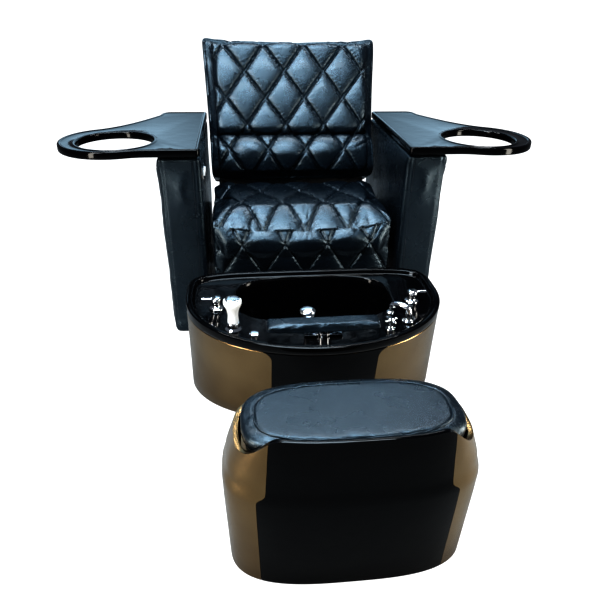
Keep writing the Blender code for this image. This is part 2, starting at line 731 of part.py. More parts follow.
def build_footrest(datum, footrest, lock):
    """Footrest pad on a post that slides in a bracket on the deck, with its locking knob."""
    x, y = FOOTREST_PLACE
    low = DECK_Z + GAP
    top = DECK_Z + 0.005
    plate = box((x - 0.050, y - 0.022, low), (x + 0.050, y + 0.072, top))
    bracket = link(plate, "footrest_bracket", "chrome", datum)
    weld(bracket, moved(rod(0.0180, low + 0.001, low + 0.0136, ROUND), place_at(FOOTREST_PLACE)))
    cut(bracket, moved(rod(FOOT_POST_R + 0.0005, low - 0.01, low + 0.03, ROUND), place_at(FOOTREST_PLACE)))
    smooth(bracket)

    post = link(rod(FOOT_POST_R, 0.215, FOOT_PAD_LOW - 0.001), "footrest_post", "chrome", footrest)
    weld(post, rod(0.030, FOOT_PAD_LOW - 0.0034, FOOT_PAD_LOW - GAP))
    smooth(post)

    half = 0.152
    shares = [-1.0 + i / 4.0 for i in range(9)]
    front = [(half * share, -0.036 + 0.010 * share * share) for share in shares]
    pad = prism(front + [(half, 0.032), (-half, 0.032)], FOOT_PAD_LOW, FOOT_PAD_LOW + 0.024)
    smooth(bevel(link(pad, "footrest_pad", "black_leather", footrest), 0.008, 2, 50.0), 60.0)

    base = top + GAP
    profile = [(0.008, base), (0.008, base + 0.022), (0.021, base + 0.026), (0.023, base + 0.034)]
    profile += [(0.018, base + 0.041), (0.008, base + 0.044)]
    smooth(link(lathe(profile), "footrest_lock_knob", "chrome", lock))


def build_lever(lever, name, side):
    """A flat lever handle on a round cap, pointing outwards at rest."""
    base = VALVE_TOP + GAP
    reach = 0.036
    profile = [(0.0150, base), (0.0160, base + 0.0036), (0.0150, base + 0.0136), (0.0090, base + 0.0176)]
    cap = link(lathe(profile, SMALL_ROUND), name, "chrome", lever)
    weld(cap, box((0.0, -0.0065, base + 0.0086), (reach, 0.0065, base + 0.0141)))
    weld(cap, moved(rod(0.0065, base + 0.0086, base + 0.0141), (reach, 0.0, 0.0)))
    smooth(reshape(cap, lambda shape: mirrored(shape, side)))


def through_deck(shank, foot, flange, rise):
    """Profile of a fitting's shank through the deck with a round flange on top."""
    low = DECK_Z + GAP
    return [(shank, foot), (shank, low), (flange, low), (flange - 0.001, DECK_Z + rise)]


def build_deck_fittings(datum, bodies):
    """Valves with their levers, spout, diverter, jet button and drain knob."""
    for side, label in ((-1.0, "hot"), (1.0, "cold")):
        profile = through_deck(0.0120, 0.215, 0.0210, 0.006) + [(0.0120, DECK_Z + 0.010), (0.0120, VALVE_TOP)]
        place = (side * LEVER_PLACE[0], LEVER_PLACE[1], 0.0)
        smooth(link(lathe(profile), label + "_valve", "chrome", datum, place))
        build_lever(bodies[label + "_lever"], label + "_lever", side)

    profile = through_deck(0.0100, 0.240, 0.0180, 0.006)
    profile += [(0.0110, DECK_Z + 0.010), (0.0110, 0.330), (0.0080, 0.334)]
    spout = link(lathe(profile), "spout", "chrome", bodies["spout"])
    weld(spout, moved(slab(0.0095, 0.0, 0.062, 0.3160, 0.3290), turn=SPOUT_TURN))
    tip = Vector((-math.sin(SPOUT_TURN), math.cos(SPOUT_TURN), 0.0)) * 0.056
    weld(spout, moved(rod(0.0075, 0.306, 0.322), tip))
    smooth(spout)

    profile = through_deck(0.0080, 0.250, 0.0140, 0.010)
    profile += [(0.0070, 0.300), (0.0070, 0.308), (0.0100, 0.312), (0.0100, 0.320), (0.0060, 0.324)]
    cross = link(lathe(profile), "diverter_knob", "chrome", bodies["diverter"])
    for turn in (0.4, 0.4 + math.pi / 2.0):
        weld(cross, moved(slab(0.0200, -0.0035, 0.0035, 0.3130, 0.3190), turn=turn))
    smooth(cross)

    head = DECK_Z + 0.0045
    profile = [(0.0080, 0.262), (0.0080, head), (0.0135, head), (0.0135, head + 0.0045)]
    profile += [(0.0110, head + 0.0075), (0.0040, head + 0.0085)]
    smooth(link(lathe(profile), "jet_button", "chrome", bodies["jet_button"]))

    profile = through_deck(0.0050, 0.262, 0.0120, 0.014) + [(0.0070, DECK_Z + 0.017)]
    smooth(link(lathe(profile, SMALL_ROUND), "drain_knob", "chrome", bodies["drain_knob"]))


def build_spray(datum, spray):
    """The hand spray, standing in its holder, and the hose that feeds it under the deck."""
    rim = 0.3080
    bore = 0.0120
    profile = through_deck(0.0140, 0.250, 0.0230, 0.007)
    profile += [(0.0165, 0.2970), (0.0165, rim), (bore, rim), (bore, 0.250)]
    smooth(link(lathe(profile, ROUND, True), "spray_holder", "chrome", datum, place_at(SPRAY_PLACE)))

    profile = [(0.0090, 0.262), (0.0112, 0.300), (0.0112, 0.3086), (0.0150, 0.3100), (0.0140, 0.3300)]
    profile += [(0.0165, 0.3480), (0.0230, 0.3600), (0.0240, 0.3700), (0.0180, 0.3780), (0.0080, 0.3800)]
    smooth(link(lathe(profile), "spray_head", "white_plastic", spray))

    build_hose(datum)


def build_hose(datum):
    """The hose between the spray's holder and the hot valve, hanging in one slack bend."""
    x, y = SPRAY_PLACE
    end_x, end_y = -LEVER_PLACE[0], LEVER_PLACE[1]
    route = [(x, y, 0.246), (x - 0.001, y - 0.002, 0.200), (x - 0.010, y + 0.015, 0.140)]
    route += [(x - 0.026, y + 0.045, 0.110), (end_x + 0.005, end_y - 0.035, 0.125)]
    route += [(end_x - 0.001, end_y - 0.005, 0.170), (end_x, end_y, 0.212)]
    line = bpy.data.curves.new("spray_hose", "CURVE")
    line.dimensions = "3D"
    line.bevel_depth = 0.006
    line.bevel_resolution = 2
    line.use_fill_caps = True
    line.resolution_u = 4
    spline = line.splines.new("BEZIER")
    spline.bezier_points.add(len(route) - 1)
    for point, spot in zip(spline.bezier_points, route):
        point.co = spot
        point.handle_left_type = "AUTO"
        point.handle_right_type = "AUTO"
    line.materials.append(get_finish("rubber"))
    hose = bpy.data.objects.new("spray_hose", line)
    hose.parent = datum
    bpy.context.collection.objects.link(hose)


def build_drain(datum, stopper):
    """Drain with a guide for the stopper's stem, and the stopper."""
    profile = [(0.0330, BOWL_FLOOR + GAP), (0.0310, BOWL_FLOOR + 0.003), (0.0180, BOWL_FLOOR + 0.003)]
    profile += [(0.0165, 0.032), (0.0220, 0.032), (0.0220, BOWL_FLOOR + GAP)]
    drain = link(lathe(profile, ROUND, True), "drain_body", "chrome", datum, place_at(DRAIN_PLACE))
    guide = BOWL_FLOOR - 0.0056
    for turn in (0.0, math.pi / 2.0):
        weld(drain, moved(slab(0.0192, -0.0014, 0.0014, guide, guide + 0.0040), turn=turn))
    weld(drain, rod(0.0072, guide, guide + 0.0040))
    cut(drain, rod(0.0046, guide - 0.005, guide + 0.009))
    smooth(drain)
    cap = BOWL_FLOOR + 0.0034
    profile = [(0.0040, 0.045), (0.0040, cap), (0.0215, cap), (0.0205, cap + 0.004), (0.0100, cap + 0.006)]
    smooth(link(lathe(profile), "drain_stopper", "chrome", stopper))


def build_jet(datum, impeller):
    """Magnetic jet in the bowl's rear wall: motor outside, impeller and cover inside."""
    axis = (0.0, 0.0, JET_Z)

    def facing_back(shape, offset=axis):
        return moved(shape, offset, -math.pi / 2.0, "X")

    motor = lathe([(0.034, -0.096), (0.034, -0.030), (0.030, -0.024)])
    piece = link(facing_back(motor), "jet_motor", "black_plastic", datum)
    weld(piece, facing_back(rod(0.0300, -0.1525, -0.090, ROUND)))
    weld(piece, facing_back(rod(0.0030, -0.1690, -0.150)))
    smooth(piece)

    hub = facing_back(tube(0.0080, 0.0034, -0.1660, -0.1560, SMALL_ROUND), (0.0, 0.0, 0.0))
    wheel = link(hub, "jet_impeller", "white_plastic", impeller)
    for i in range(6):
        blade = box((0.006, -0.165, -0.001), (0.023, -0.157, 0.001))
        weld(wheel, moved(blade, turn=i * math.pi / 3.0, axis="Y"))

    profile = [(0.0345, -0.1535), (0.0345, -0.1710), (0.0300, -0.1770), (0.0100, -0.1770), (0.0100, -0.1740)]
    profile += [(0.0290, -0.1740), (0.0310, -0.1700), (0.0310, -0.1535)]
    cover = link(facing_back(lathe(profile, ROUND, True)), "jet_cover", "gloss_black", datum)
    for i in range(8):
        slot = box((0.014, -0.185, -0.002), (0.025, -0.170, 0.002))
        cut(cover, moved(moved(slot, turn=i * math.pi / 4.0, axis="Y"), axis))
    smooth(cover)


# ---------------------------------------------------------------- stool
def blend_size(low, high, share):
    return tuple(a + (b - a) * share for a, b in zip(low, high))


def stool_outline(size):
    def outline(angle):
        return superellipse(angle, size[0], size[1], 3.0)

    return outline


def stool_top(angle):
    """Height of the stool's rim: a lip along the near side, lower round the rest."""
    x, y = stool_outline(STOOL_RIM)(angle)
    if y > 0.0:
        return STOOL_SIDE_TOP
    share = min(1.0, max(0.0, (abs(x) - 0.145) / 0.085))
    return STOOL_SIDE_TOP + (STOOL_LIP_TOP - STOOL_SIDE_TOP) * (1.0 - share * share * (3.0 - 2.0 * share))


def stool_levels(angle):
    """(height, outline size) pairs up the outside of the shell at one angle."""
    top = stool_top(angle)
    base = STOOL_LEDGE_Z + 0.010
    levels = [(SHELL_FLOOR, STOOL_FLOOR), (0.130, blend_size(STOOL_FLOOR, STOOL_LEDGE_LOW, 0.6))]
    for rise, share in ((-0.004, 0.0), (0.002, 0.25), (0.006, 0.8), (0.010, 1.0)):
        levels.append((STOOL_LEDGE_Z + rise, blend_size(STOOL_LEDGE_LOW, STOOL_LEDGE_HIGH, share)))
    for share in (0.6, 1.0):
        levels.append((base + (top - base) * share, blend_size(STOOL_LEDGE_HIGH, STOOL_RIM, share)))
    return levels


def stool_split(z):
    """Half the width of the centre panel: the gold reaches further in above the ledge."""
    step = min(1.0, max(0.0, (z - STOOL_LEDGE_Z + 0.004) / 0.014))
    rise = max(0.0, (z - STOOL_LEDGE_Z - 0.010) / (STOOL_LIP_TOP - STOOL_LEDGE_Z))
    return STOOL_PANEL_HALF - 0.028 * step + 0.024 * rise


def stool_wall(span, steps):
    """A strip of the stool's shell; span gives its first and last angle at a height."""
    rings = []
    for i in range(steps + 1):
        ring = []
        share = i / steps
        count = len(stool_levels(0.0))
        order = [(k, 0.0) for k in range(count)] + [(k, STOOL_WALL) for k in reversed(range(count))]
        for k, inset in order:
            first, last = span(STOOL_SIDE_TOP * k / count)
            guess = first + (last - first) * share
            z, size = stool_levels(guess)[k]
            first, last = span(z)
            angle = first + (last - first) * share
            ring.append((*inset_point(stool_outline(size), angle, inset), z))
        rings.append(ring)
    return loft(rings, strip_caps=True)


def build_stool(stool, casters):
    """Rolling stool: black centre panel, gold wrap, inner frame, cushion and casters."""
    outline = stool_outline(STOOL_LEDGE_LOW)
    quarter = math.pi / 2.0

    def centre_span(z):
        half = stool_split(z) - GAP
        return angle_at(outline, -half, -2.0 * quarter, -quarter), angle_at(outline, half, -quarter, 0.0)

    def wrap_span(z):
        half = stool_split(z) + GAP
        first = angle_at(outline, half, -quarter, 0.0)
        return first, math.pi - first

    smooth(link(stool_wall(centre_span, 14), "stool_centre_panel", "gloss_black", stool))
    smooth(link(stool_wall(wrap_span, 34), "stool_shell", "champagne_gold", stool))

    inside = STOOL_WALL + 0.003
    base = (STOOL_FLOOR[0] - inside, STOOL_FLOOR[1] - inside)
    seat = (STOOL_RIM[0] - inside - 0.001, STOOL_RIM[1] - inside + 0.001)
    frame = link(stool_board(base, STOOL_BOARD_Z), "stool_frame", "plywood", stool)
    for x in (-STOOL_POST[0], STOOL_POST[0]):
        for y in (-STOOL_POST[1], STOOL_POST[1]):
            low = (x - STOOL_POST_HALF, y - STOOL_POST_HALF, STOOL_BOARD_Z + 0.006)
            high = (x + STOOL_POST_HALF, y + STOOL_POST_HALF, STOOL_SEAT_Z + 0.004)
            weld(frame, box(low, high))
    weld(frame, stool_board(seat, STOOL_SEAT_Z))
    for x, y in CASTER_PLACES:
        hole = rod(CASTER_STEM_R + 0.0006, STOOL_BOARD_Z - 0.01, STOOL_BOARD_Z + 0.02)
        cut(frame, moved(hole, (x, y, 0.0)))

    low = STOOL_SEAT_Z + STOOL_BOARD_THICK + GAP
    top = STOOL_CUSHION_TOP
    heights = ((low, -0.008), (low + 0.012, -0.004), (top - 0.020, -0.004), (top - 0.008, -0.010))
    heights += ((top - 0.001, -0.024), (top, -0.038))
    rings = [ring_of(stool_outline((seat[0] + grow, seat[1] + grow)), z, 0.0, 40) for z, grow in heights]
    smooth(link(loft(rings), "stool_cushion", "black_leather", stool), 60.0)

    for number, (swivel, wheel) in enumerate(casters, start=1):
        build_caster(swivel, wheel, number)


def stool_board(size, z):
    return loft([ring_of(stool_outline(size), height, 0.0, 40) for height in (z, z + STOOL_BOARD_THICK)])


def build_caster(swivel, wheel, number):
    """A small swivel caster: fork with stem and axle, and its wheel."""
    plate = STOOL_BOARD_Z - GAP
    stem = CASTER_STEM_R
    profile = [(0.0150, plate - 0.007), (0.0150, plate), (stem, plate), (stem, plate + 0.009)]
    fork = link(lathe(profile, SMALL_ROUND), f"caster_fork_{number}", "zinc_steel", swivel)
    for side in (-1.0, 1.0):
        cheek = box((-0.0012, -0.008, CASTER_R - 0.006), (0.0012, CASTER_TRAIL + 0.006, plate - 0.002))
        weld(fork, moved(cheek, (side * 0.0112, 0.0, 0.0)))
    weld(fork, moved(lying(rod(0.0030, -0.0120, 0.0120, 12)), (0.0, CASTER_TRAIL, CASTER_R)))
    smooth(fork)

    half = 0.0090
    bore = 0.0034
    profile = [(bore, -half), (CASTER_R - 0.002, -half), (CASTER_R, 0.002 - half), (CASTER_R, half - 0.002)]
    profile += [(CASTER_R - 0.002, half), (bore, half)]
    smooth(link(lying(lathe(profile, 28, True)), f"caster_wheel_{number}", "rubber", wheel))


# ---------------------------------------------------------------- assembly
def build():
    clear_scene()
    datum = pivot("datum", None, (0.0, DATUM_Y, 0.0))
    build_base(datum)
    build_arm(datum, -1.0)
    build_arm(datum, 1.0)
    build_switches(datum)

    carriage = pivot("carriage", datum)
    build_carriage(carriage)
    build_carriage_frame(carriage)
    back = pivot("back_hinge", carriage, (0.0, HINGE_Y, HINGE_Z), (-BACK_TILT, 0.0, 0.0))
    build_back(back)

    turn = BACK_TILT - LEVER_ANGLE
    lever_end = (HINGE_Y - LEVER_REACH * math.sin(turn), HINGE_Z - LEVER_REACH * math.cos(turn))
    run = Vector((lever_end[0] - ACTUATOR_Y, lever_end[1] - ACTUATOR_Z))
    lean = math.atan2(run.x, run.y)
    actuator = pivot("actuator_pivot", carriage, (0.0, ACTUATOR_Y, ACTUATOR_Z), (-lean, 0.0, 0.0))
    piston = pivot("actuator_eye", actuator, (0.0, 0.0, run.length))
    build_actuator(actuator, piston, run.length)

    for side, label in ((-1.0, "left"), (1.0, "right")):
        tray = pivot("tray_pivot_" + label, datum, (side * TRAY_PIVOT[0], TRAY_PIVOT[1], 0.0))
        build_tray(tray, side)
        build_tray_bush(datum, side)

    build_tub(datum)
    build_basin_walls(datum)
    bodies = {
        "hot_lever": pivot("hot_lever_pivot", datum, (-LEVER_PLACE[0], LEVER_PLACE[1], 0.0)),
        "cold_lever": pivot("cold_lever_pivot", datum, (LEVER_PLACE[0], LEVER_PLACE[1], 0.0)),
        "spout": pivot("spout_pivot", datum, place_at(SPOUT_PLACE)),
        "diverter": pivot("diverter_pivot", datum, place_at(DIVERTER_PLACE)),
        "jet_button": pivot("jet_button_guide", datum, place_at(BUTTON_PLACE)),
        "drain_knob": pivot("drain_knob_pivot", datum, place_at(DRAIN_KNOB_PLACE)),
    }
    build_deck_fittings(datum, bodies)
    build_spray(datum, pivot("spray_guide", datum, place_at(SPRAY_PLACE)))
    build_drain(datum, pivot("stopper_guide", datum, place_at(DRAIN_PLACE)))
    build_jet(datum, pivot("impeller_axis", datum, (0.0, 0.0, JET_Z)))
    footrest = pivot("footrest_guide", datum, place_at(FOOTREST_PLACE))
    build_footrest(datum, footrest, pivot("lock_knob_axis", datum, place_at(LOCK_KNOB_PLACE)))

    stool = pivot("stool", datum, (0.0, STOOL_Y, 0.0))
    casters = []
    for number, (x, y) in enumerate(CASTER_PLACES, start=1):
        swivel = pivot(f"caster_swivel_{number}", stool, (x, y, 0.0))
        casters.append((swivel, pivot(f"caster_axle_{number}", swivel, (0.0, CASTER_TRAIL, CASTER_R))))
    build_stool(stool, casters)


build()
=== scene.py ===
"""Looks of a pedicure spa chair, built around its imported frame.

Lengths are in metres. x = 0 is the chair's centre plane, the chair faces -Y, and FRONT is the y of
the seat's front plane.
"""
import json
import math

import bmesh
import bpy
import numpy as np
from mathutils import Matrix, Vector
from mathutils.bvhtree import BVHTree


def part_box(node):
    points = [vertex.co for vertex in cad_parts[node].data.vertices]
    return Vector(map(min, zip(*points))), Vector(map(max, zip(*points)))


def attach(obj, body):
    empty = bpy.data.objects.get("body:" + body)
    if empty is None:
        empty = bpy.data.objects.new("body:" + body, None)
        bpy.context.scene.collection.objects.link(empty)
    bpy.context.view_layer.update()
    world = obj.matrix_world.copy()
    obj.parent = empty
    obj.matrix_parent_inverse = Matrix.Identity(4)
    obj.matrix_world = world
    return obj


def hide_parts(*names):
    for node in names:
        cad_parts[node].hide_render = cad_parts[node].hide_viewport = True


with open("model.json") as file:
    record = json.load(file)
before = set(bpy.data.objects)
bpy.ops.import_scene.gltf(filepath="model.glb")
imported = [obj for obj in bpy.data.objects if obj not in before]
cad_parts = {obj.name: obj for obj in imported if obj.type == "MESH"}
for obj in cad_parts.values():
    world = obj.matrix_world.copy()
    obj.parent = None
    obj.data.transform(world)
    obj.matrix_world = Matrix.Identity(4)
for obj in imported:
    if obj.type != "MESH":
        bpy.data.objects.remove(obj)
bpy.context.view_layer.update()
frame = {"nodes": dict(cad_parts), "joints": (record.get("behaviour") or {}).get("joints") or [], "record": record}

# ---------------------------------------------------------------- places read from the frame
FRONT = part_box("seat_cushion")[0].y
SEAT_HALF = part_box("seat_cushion")[1].x
SEAT_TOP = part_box("seat_cushion")[1].z
ARM_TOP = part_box("arm_right")[1].z
ARM_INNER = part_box("arm_right")[0].x
TRAY_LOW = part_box("tray_bush_right")[1].z + 0.0004
TRAY_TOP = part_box("tray_right")[1].z
RIM_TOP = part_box("basin_tub")[1].z
BOWL_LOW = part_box("basin_tub")[0].z
STOOL_Y = 0.5 * (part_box("stool_frame")[0].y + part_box("stool_frame")[1].y)
STOOL_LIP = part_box("stool_centre_panel")[1].z
STOOL_SIDE_TOP = STOOL_LIP - 0.060
SHELL_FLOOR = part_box("stool_shell")[0].z


def joint(name):
    return next(entry for entry in frame["joints"] if entry["name"] == name)


HINGE = Vector(joint("recline")["pos_m"])
TRAY_PIVOT = Vector(joint("tray_right_swing")["pos_m"])
HOT = Vector(joint("hot_turn")["pos_m"])
SPOUT = Vector(joint("spout_swivel")["pos_m"])
DIVERTER = Vector(joint("diverter_turn")["pos_m"])
DRAIN_KNOB = Vector(joint("drain_knob_turn")["pos_m"])
LOCK_KNOB = Vector(joint("footrest_lock_turn")["pos_m"])

# ---------------------------------------------------------------- shapes shared with the frame
BACK_TILT = math.radians(26.0)
DECK_Z = RIM_TOP - 0.014
BASIN_HALF = 0.372
BASIN_Y = FRONT - 0.260
BASIN_FRONT_FLOOR = 0.235
BASIN_FRONT_RIM = 0.300
BASIN_REAR = 0.155
BASIN_REAR_EDGE = 0.300
RIM_BAND = 0.028
PANEL_HALF = 0.140
OPENING_HALF = 0.235
OPENING_Y = FRONT - 0.265
OPENING_FRONT = 0.140
OPENING_REAR = 0.135
DRAIN_Y = FRONT - 0.285
RING_CENTRE = (0.602, FRONT + 0.120)
RING_R = 0.160
BOWL_HOLE = (0.587, FRONT + 0.106)
BOWL_HOLE_R = 0.117
STOOL_FLOOR = (0.254, 0.124)
STOOL_LEDGE_LOW = (0.2625, 0.1290)
STOOL_LEDGE_HIGH = (0.2535, 0.1245)
STOOL_RIM = (0.236, 0.120)
STOOL_LEDGE_Z = 0.250
STOOL_PANEL_HALF = 0.197
GAP = 0.0004
SHARP = 35.0

# ---------------------------------------------------------------- upholstery
SEAT_QUILT = (0.143, 0.232, 0.010, -0.005)
BACK_QUILT = (0.150, 0.196, 0.048, 0.567)
SEAT_STUFFING = (0.0115, 0.0026, 0.0036)
BACK_STUFFING = (0.0145, 0.0046, 0.0070)
BACK_BORDER = 0.580
BACK_EDGING = 0.027
AHEAD = -0.20
GROOVE = 0.0022
VOXEL = 0.0055
STITCH_PITCH = 0.0062

CAMERA_PLACE = (-0.206, FRONT - 1.732, 1.092)
CAMERA_PITCH = math.radians(28.95)
CAMERA_YAW = math.radians(6.45)
CAMERA_ROLL = math.radians(1.07)
CAMERA_LENS = 34.1
WHITE = (1.0, 1.0, 1.0, 1.0)


# ---------------------------------------------------------------- materials
class Look:
    """A material being built: its node tree, its shader and its object coordinates."""

    def __init__(self, name, **values):
        self.material = bpy.data.materials.new(name)
        self.material.use_nodes = True
        self.tree = self.material.node_tree
        self.shader = self.tree.nodes["Principled BSDF"]
        self.coords = self.tree.nodes.new("ShaderNodeTexCoord").outputs["Object"]
        self.fill(self.shader, values)

    def fill(self, node, values):
        """Set a node's inputs to numbers and colours, or link them to sockets."""
        for key, value in values.items():
            socket = node.inputs[key.replace("_", " ")]
            if isinstance(value, bpy.types.NodeSocket):
                self.tree.links.new(value, socket)
            else:
                socket.default_value = value
        return node

    def add(self, kind, **values):
        return self.fill(self.tree.nodes.new("ShaderNode" + kind), values)

    def noise(self, scale, detail=3.0, rough=0.5, stretch=None):
        """A noise texture; stretch scales the coordinates first."""
        source = self.coords
        if stretch:
            source = self.add("Mapping", Scale=stretch, Vector=source).outputs["Vector"]
        return self.add("TexNoise", Scale=scale, Detail=detail, Roughness=rough,
                        Vector=source).outputs["Fac"]

    def cells(self, scale, feature="F1", output="Distance"):
        node = self.tree.nodes.new("ShaderNodeTexVoronoi")
        node.feature = feature
        return self.fill(node, {"Scale": scale, "Vector": self.coords}).outputs[output]

    def ramp(self, value, low, high, start=0.0, end=1.0):
        """Map a value to colours between two stops."""
        node = self.add("ValToRGB", Fac=value)
        for stop, place, colour in zip(node.color_ramp.elements, (start, end), (low, high)):
            stop.position = place
            stop.color = (*colour, 1.0)
        return node.outputs["Color"]

    def remap(self, value, low, high, start=0.3, end=0.7):
        return self.add("MapRange", From_Min=start, From_Max=end, To_Min=low, To_Max=high,
                        Value=value).outputs["Result"]

    def mixed(self, share, first, second):
        """Mix two colours; the share is a number or a socket."""
        node = self.tree.nodes.new("ShaderNodeMix")
        node.data_type = "RGBA"
        return self.fill(node, {"Factor": share, "A": first, "B": second}).outputs["Result"]

    def edges(self, start, end):
        """0 on flats and hollows, 1 along worn convex edges."""
        return self.remap(self.add("NewGeometry").outputs["Pointiness"], 0.0, 1.0, start, end)

    def finish(self, colour, rough, *layers):
        """Link the colour, the roughness and a chain of (height, distance) bump layers."""
        normal = {}
        for height, distance in layers:
            node = self.add("Bump", Distance=distance, Height=height, **normal)
            normal = {"Normal": node.outputs["Normal"]}
        self.fill(self.shader, {"Base Color": colour, "Roughness": rough, **normal})
        return self.material


def black_leather():
    look = Look("black_leather", Specular_IOR_Level=0.50, Specular_Tint=(0.62, 0.84, 1.0, 1.0),
                Coat_Weight=0.16,
                Coat_Roughness=0.22, Coat_Tint=(0.75, 0.90, 1.0, 1.0))
    base = look.ramp(look.noise(7.0, 5.0), (0.0018, 0.0030, 0.0045), (0.0040, 0.0062, 0.0090), 0.3, 0.7)
    worn = look.ramp(look.noise(90.0, 2.0), (0.008, 0.011, 0.015), (0.018, 0.023, 0.029))
    creases, pores = look.noise(38.0, 4.0, 0.6), look.cells(260.0, "DISTANCE_TO_EDGE")
    pebble = look.cells(620.0, "SMOOTH_F1")
    return look.finish(look.mixed(look.edges(0.54, 0.66), base, worn),
                       look.remap(look.noise(16.0, 4.0), 0.20, 0.32),
                       (creases, 0.0004), (pores, 0.0005), (pebble, 0.0004))


def thread():
    look = Look("seam_thread")
    twist = look.add("TexWave", Scale=420.0, Vector=look.coords).outputs["Fac"]
    return look.finish(look.ramp(twist, (0.016, 0.019, 0.025), (0.045, 0.050, 0.060)),
                       look.remap(look.noise(60.0), 0.45, 0.60), (twist, 0.0004))


def gloss_black():
    look = Look("gloss_black", Specular_IOR_Level=0.10, Coat_Weight=0.10, Coat_Roughness=0.04)
    smudges = look.remap(look.noise(11.0, 6.0, 0.62), 0.055, 0.135)
    scratches = look.remap(look.noise(70.0, 2.0, 0.5, (1.0, 14.0, 14.0)), 0.05, 0.17, 0.55, 0.85)
    rough = look.tree.nodes.new("ShaderNodeMath")
    rough.operation = "MAXIMUM"
    look.tree.links.new(smudges, rough.inputs[0])
    look.tree.links.new(scratches, rough.inputs[1])
    return look.finish(look.ramp(look.noise(5.0, 4.0), (0.0004, 0.0004, 0.0006), (0.0012, 0.0012, 0.0016)),
                       rough.outputs["Value"], (look.noise(24.0, 2.0), 0.0007),
                       (look.noise(260.0, 1.0), 0.00003))


def champagne_gold():
    look = Look("champagne_gold", Metallic=1.0, Coat_Weight=0.18, Coat_Roughness=0.05)
    broad = look.ramp(look.noise(3.5, 3.0), (0.150, 0.090, 0.038), (0.290, 0.195, 0.095), 0.35, 0.65)
    flakes = look.ramp(look.cells(1400.0, "F1", "Color"), (0.07, 0.045, 0.018), (0.40, 0.28, 0.14))
    return look.finish(look.mixed(0.22, broad, flakes), look.remap(look.noise(12.0, 5.0), 0.17, 0.27),
                       (look.noise(20.0, 2.0), 0.0009), (look.cells(900.0), 0.00012))


def chrome():
    look = Look("chrome", Metallic=1.0)
    return look.finish(look.ramp(look.noise(30.0, 3.0), (0.70, 0.72, 0.75), (0.86, 0.87, 0.89)),
                       look.remap(look.noise(85.0, 5.0), 0.05, 0.15), (look.noise(140.0, 2.0), 0.00006))


def white_plastic():
    look = Look("white_plastic", Coat_Weight=0.3, Coat_Roughness=0.1)
    return look.finish(look.ramp(look.noise(22.0, 4.0), (0.74, 0.75, 0.76), (0.86, 0.87, 0.88)),
                       look.remap(look.noise(60.0, 3.0), 0.22, 0.36), (look.noise(300.0, 2.0), 0.00004))


def painted_steel():
    look = Look("painted_steel")
    paint = look.ramp(look.noise(14.0, 4.0), (0.012, 0.012, 0.014), (0.026, 0.026, 0.029))
    bare = look.ramp(look.noise(180.0, 2.0), (0.16, 0.15, 0.14), (0.30, 0.29, 0.28))
    return look.finish(look.mixed(look.edges(0.56, 0.72), paint, bare),
                       look.remap(look.noise(45.0, 4.0), 0.38, 0.58),
                       (look.noise(420.0, 2.0), 0.00012))


def zinc_steel():
    look = Look("zinc_steel", Metallic=1.0)
    spangle = look.ramp(look.cells(75.0, "F1", "Color"), (0.38, 0.39, 0.40), (0.58, 0.59, 0.61))
    brushed = look.noise(240.0, 3.0, 0.6, (1.0, 0.05, 1.0))
    return look.finish(spangle, look.remap(brushed, 0.26, 0.46), (brushed, 0.00008))


def plywood():
    look = Look("plywood")
    grain = look.noise(26.0, 6.0, 0.65, (0.8, 9.0, 9.0))
    return look.finish(look.ramp(grain, (0.26, 0.165, 0.085), (0.56, 0.42, 0.26), 0.32, 0.68),
                       look.remap(grain, 0.55, 0.75), (grain, 0.0004))


def black_plastic():
    look = Look("black_plastic")
    return look.finish(look.ramp(look.noise(18.0, 3.0), (0.014, 0.014, 0.016), (0.026, 0.026, 0.029)),
                       look.remap(look.noise(70.0, 3.0), 0.44, 0.60), (look.cells(1100.0), 0.00015))


def rubber():
    look = Look("rubber")
    return look.finish(look.ramp(look.noise(40.0, 4.0), (0.016, 0.016, 0.016), (0.040, 0.039, 0.037)),
                       look.remap(look.noise(90.0, 3.0), 0.65, 0.85), (look.noise(500.0, 2.0), 0.00015))


def floor_paint():
    look = Look("pale_floor", Emission_Color=WHITE)
    seen = look.add("LightPath").outputs["Is Camera Ray"]
    look.fill(look.shader, {"Emission Strength": look.remap(seen, 0.03, 0.88, 0.0, 1.0)})
    return look.finish(look.ramp(look.noise(1.5, 4.0), (0.15, 0.15, 0.15), (0.18, 0.18, 0.18)),
                       look.remap(look.noise(9.0, 4.0), 0.72, 0.86))


MAKERS = (black_leather, gloss_black, champagne_gold, chrome, white_plastic, painted_steel, zinc_steel,
          plywood,
          black_plastic, rubber)
MATERIALS = {make.__name__: make() for make in MAKERS}
THREAD = thread()


# ---------------------------------------------------------------- mesh tools
def linked(shape, name):
    """A bmesh as an object in the scene."""
    mesh = bpy.data.meshes.new(name)
    shape.to_mesh(mesh)
    shape.free()
    piece = bpy.data.objects.new(name, mesh)
    bpy.context.scene.collection.objects.link(piece)
    return piece


def add_piece(shape, name, body, slot, replaced=(), angle=SHARP):
    """A bmesh as a smooth piece that rides on a body and stands for CAD nodes."""
    piece = linked(shape, name)
    piece.data.materials.append(MATERIALS[slot])
    finish_shading(piece, angle)
    settle(piece, body, replaced)


def finish_shading(piece, angle):
    for face in piece.data.polygons:
        face.use_smooth = True
    piece.data.set_sharp_from_angle(angle=math.radians(angle))


def settle(piece, body, replaced=()):
    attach(piece, body)
    if replaced:
        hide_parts(*replaced)


def skin(shape, rows):
    """Faces between each row of vertices and the next."""
    for lower, upper in zip(rows, rows[1:]):
        for i in range(len(lower)):
            j = (i + 1) % len(lower)
            shape.faces.new((lower[i], lower[j], upper[j], upper[i]))


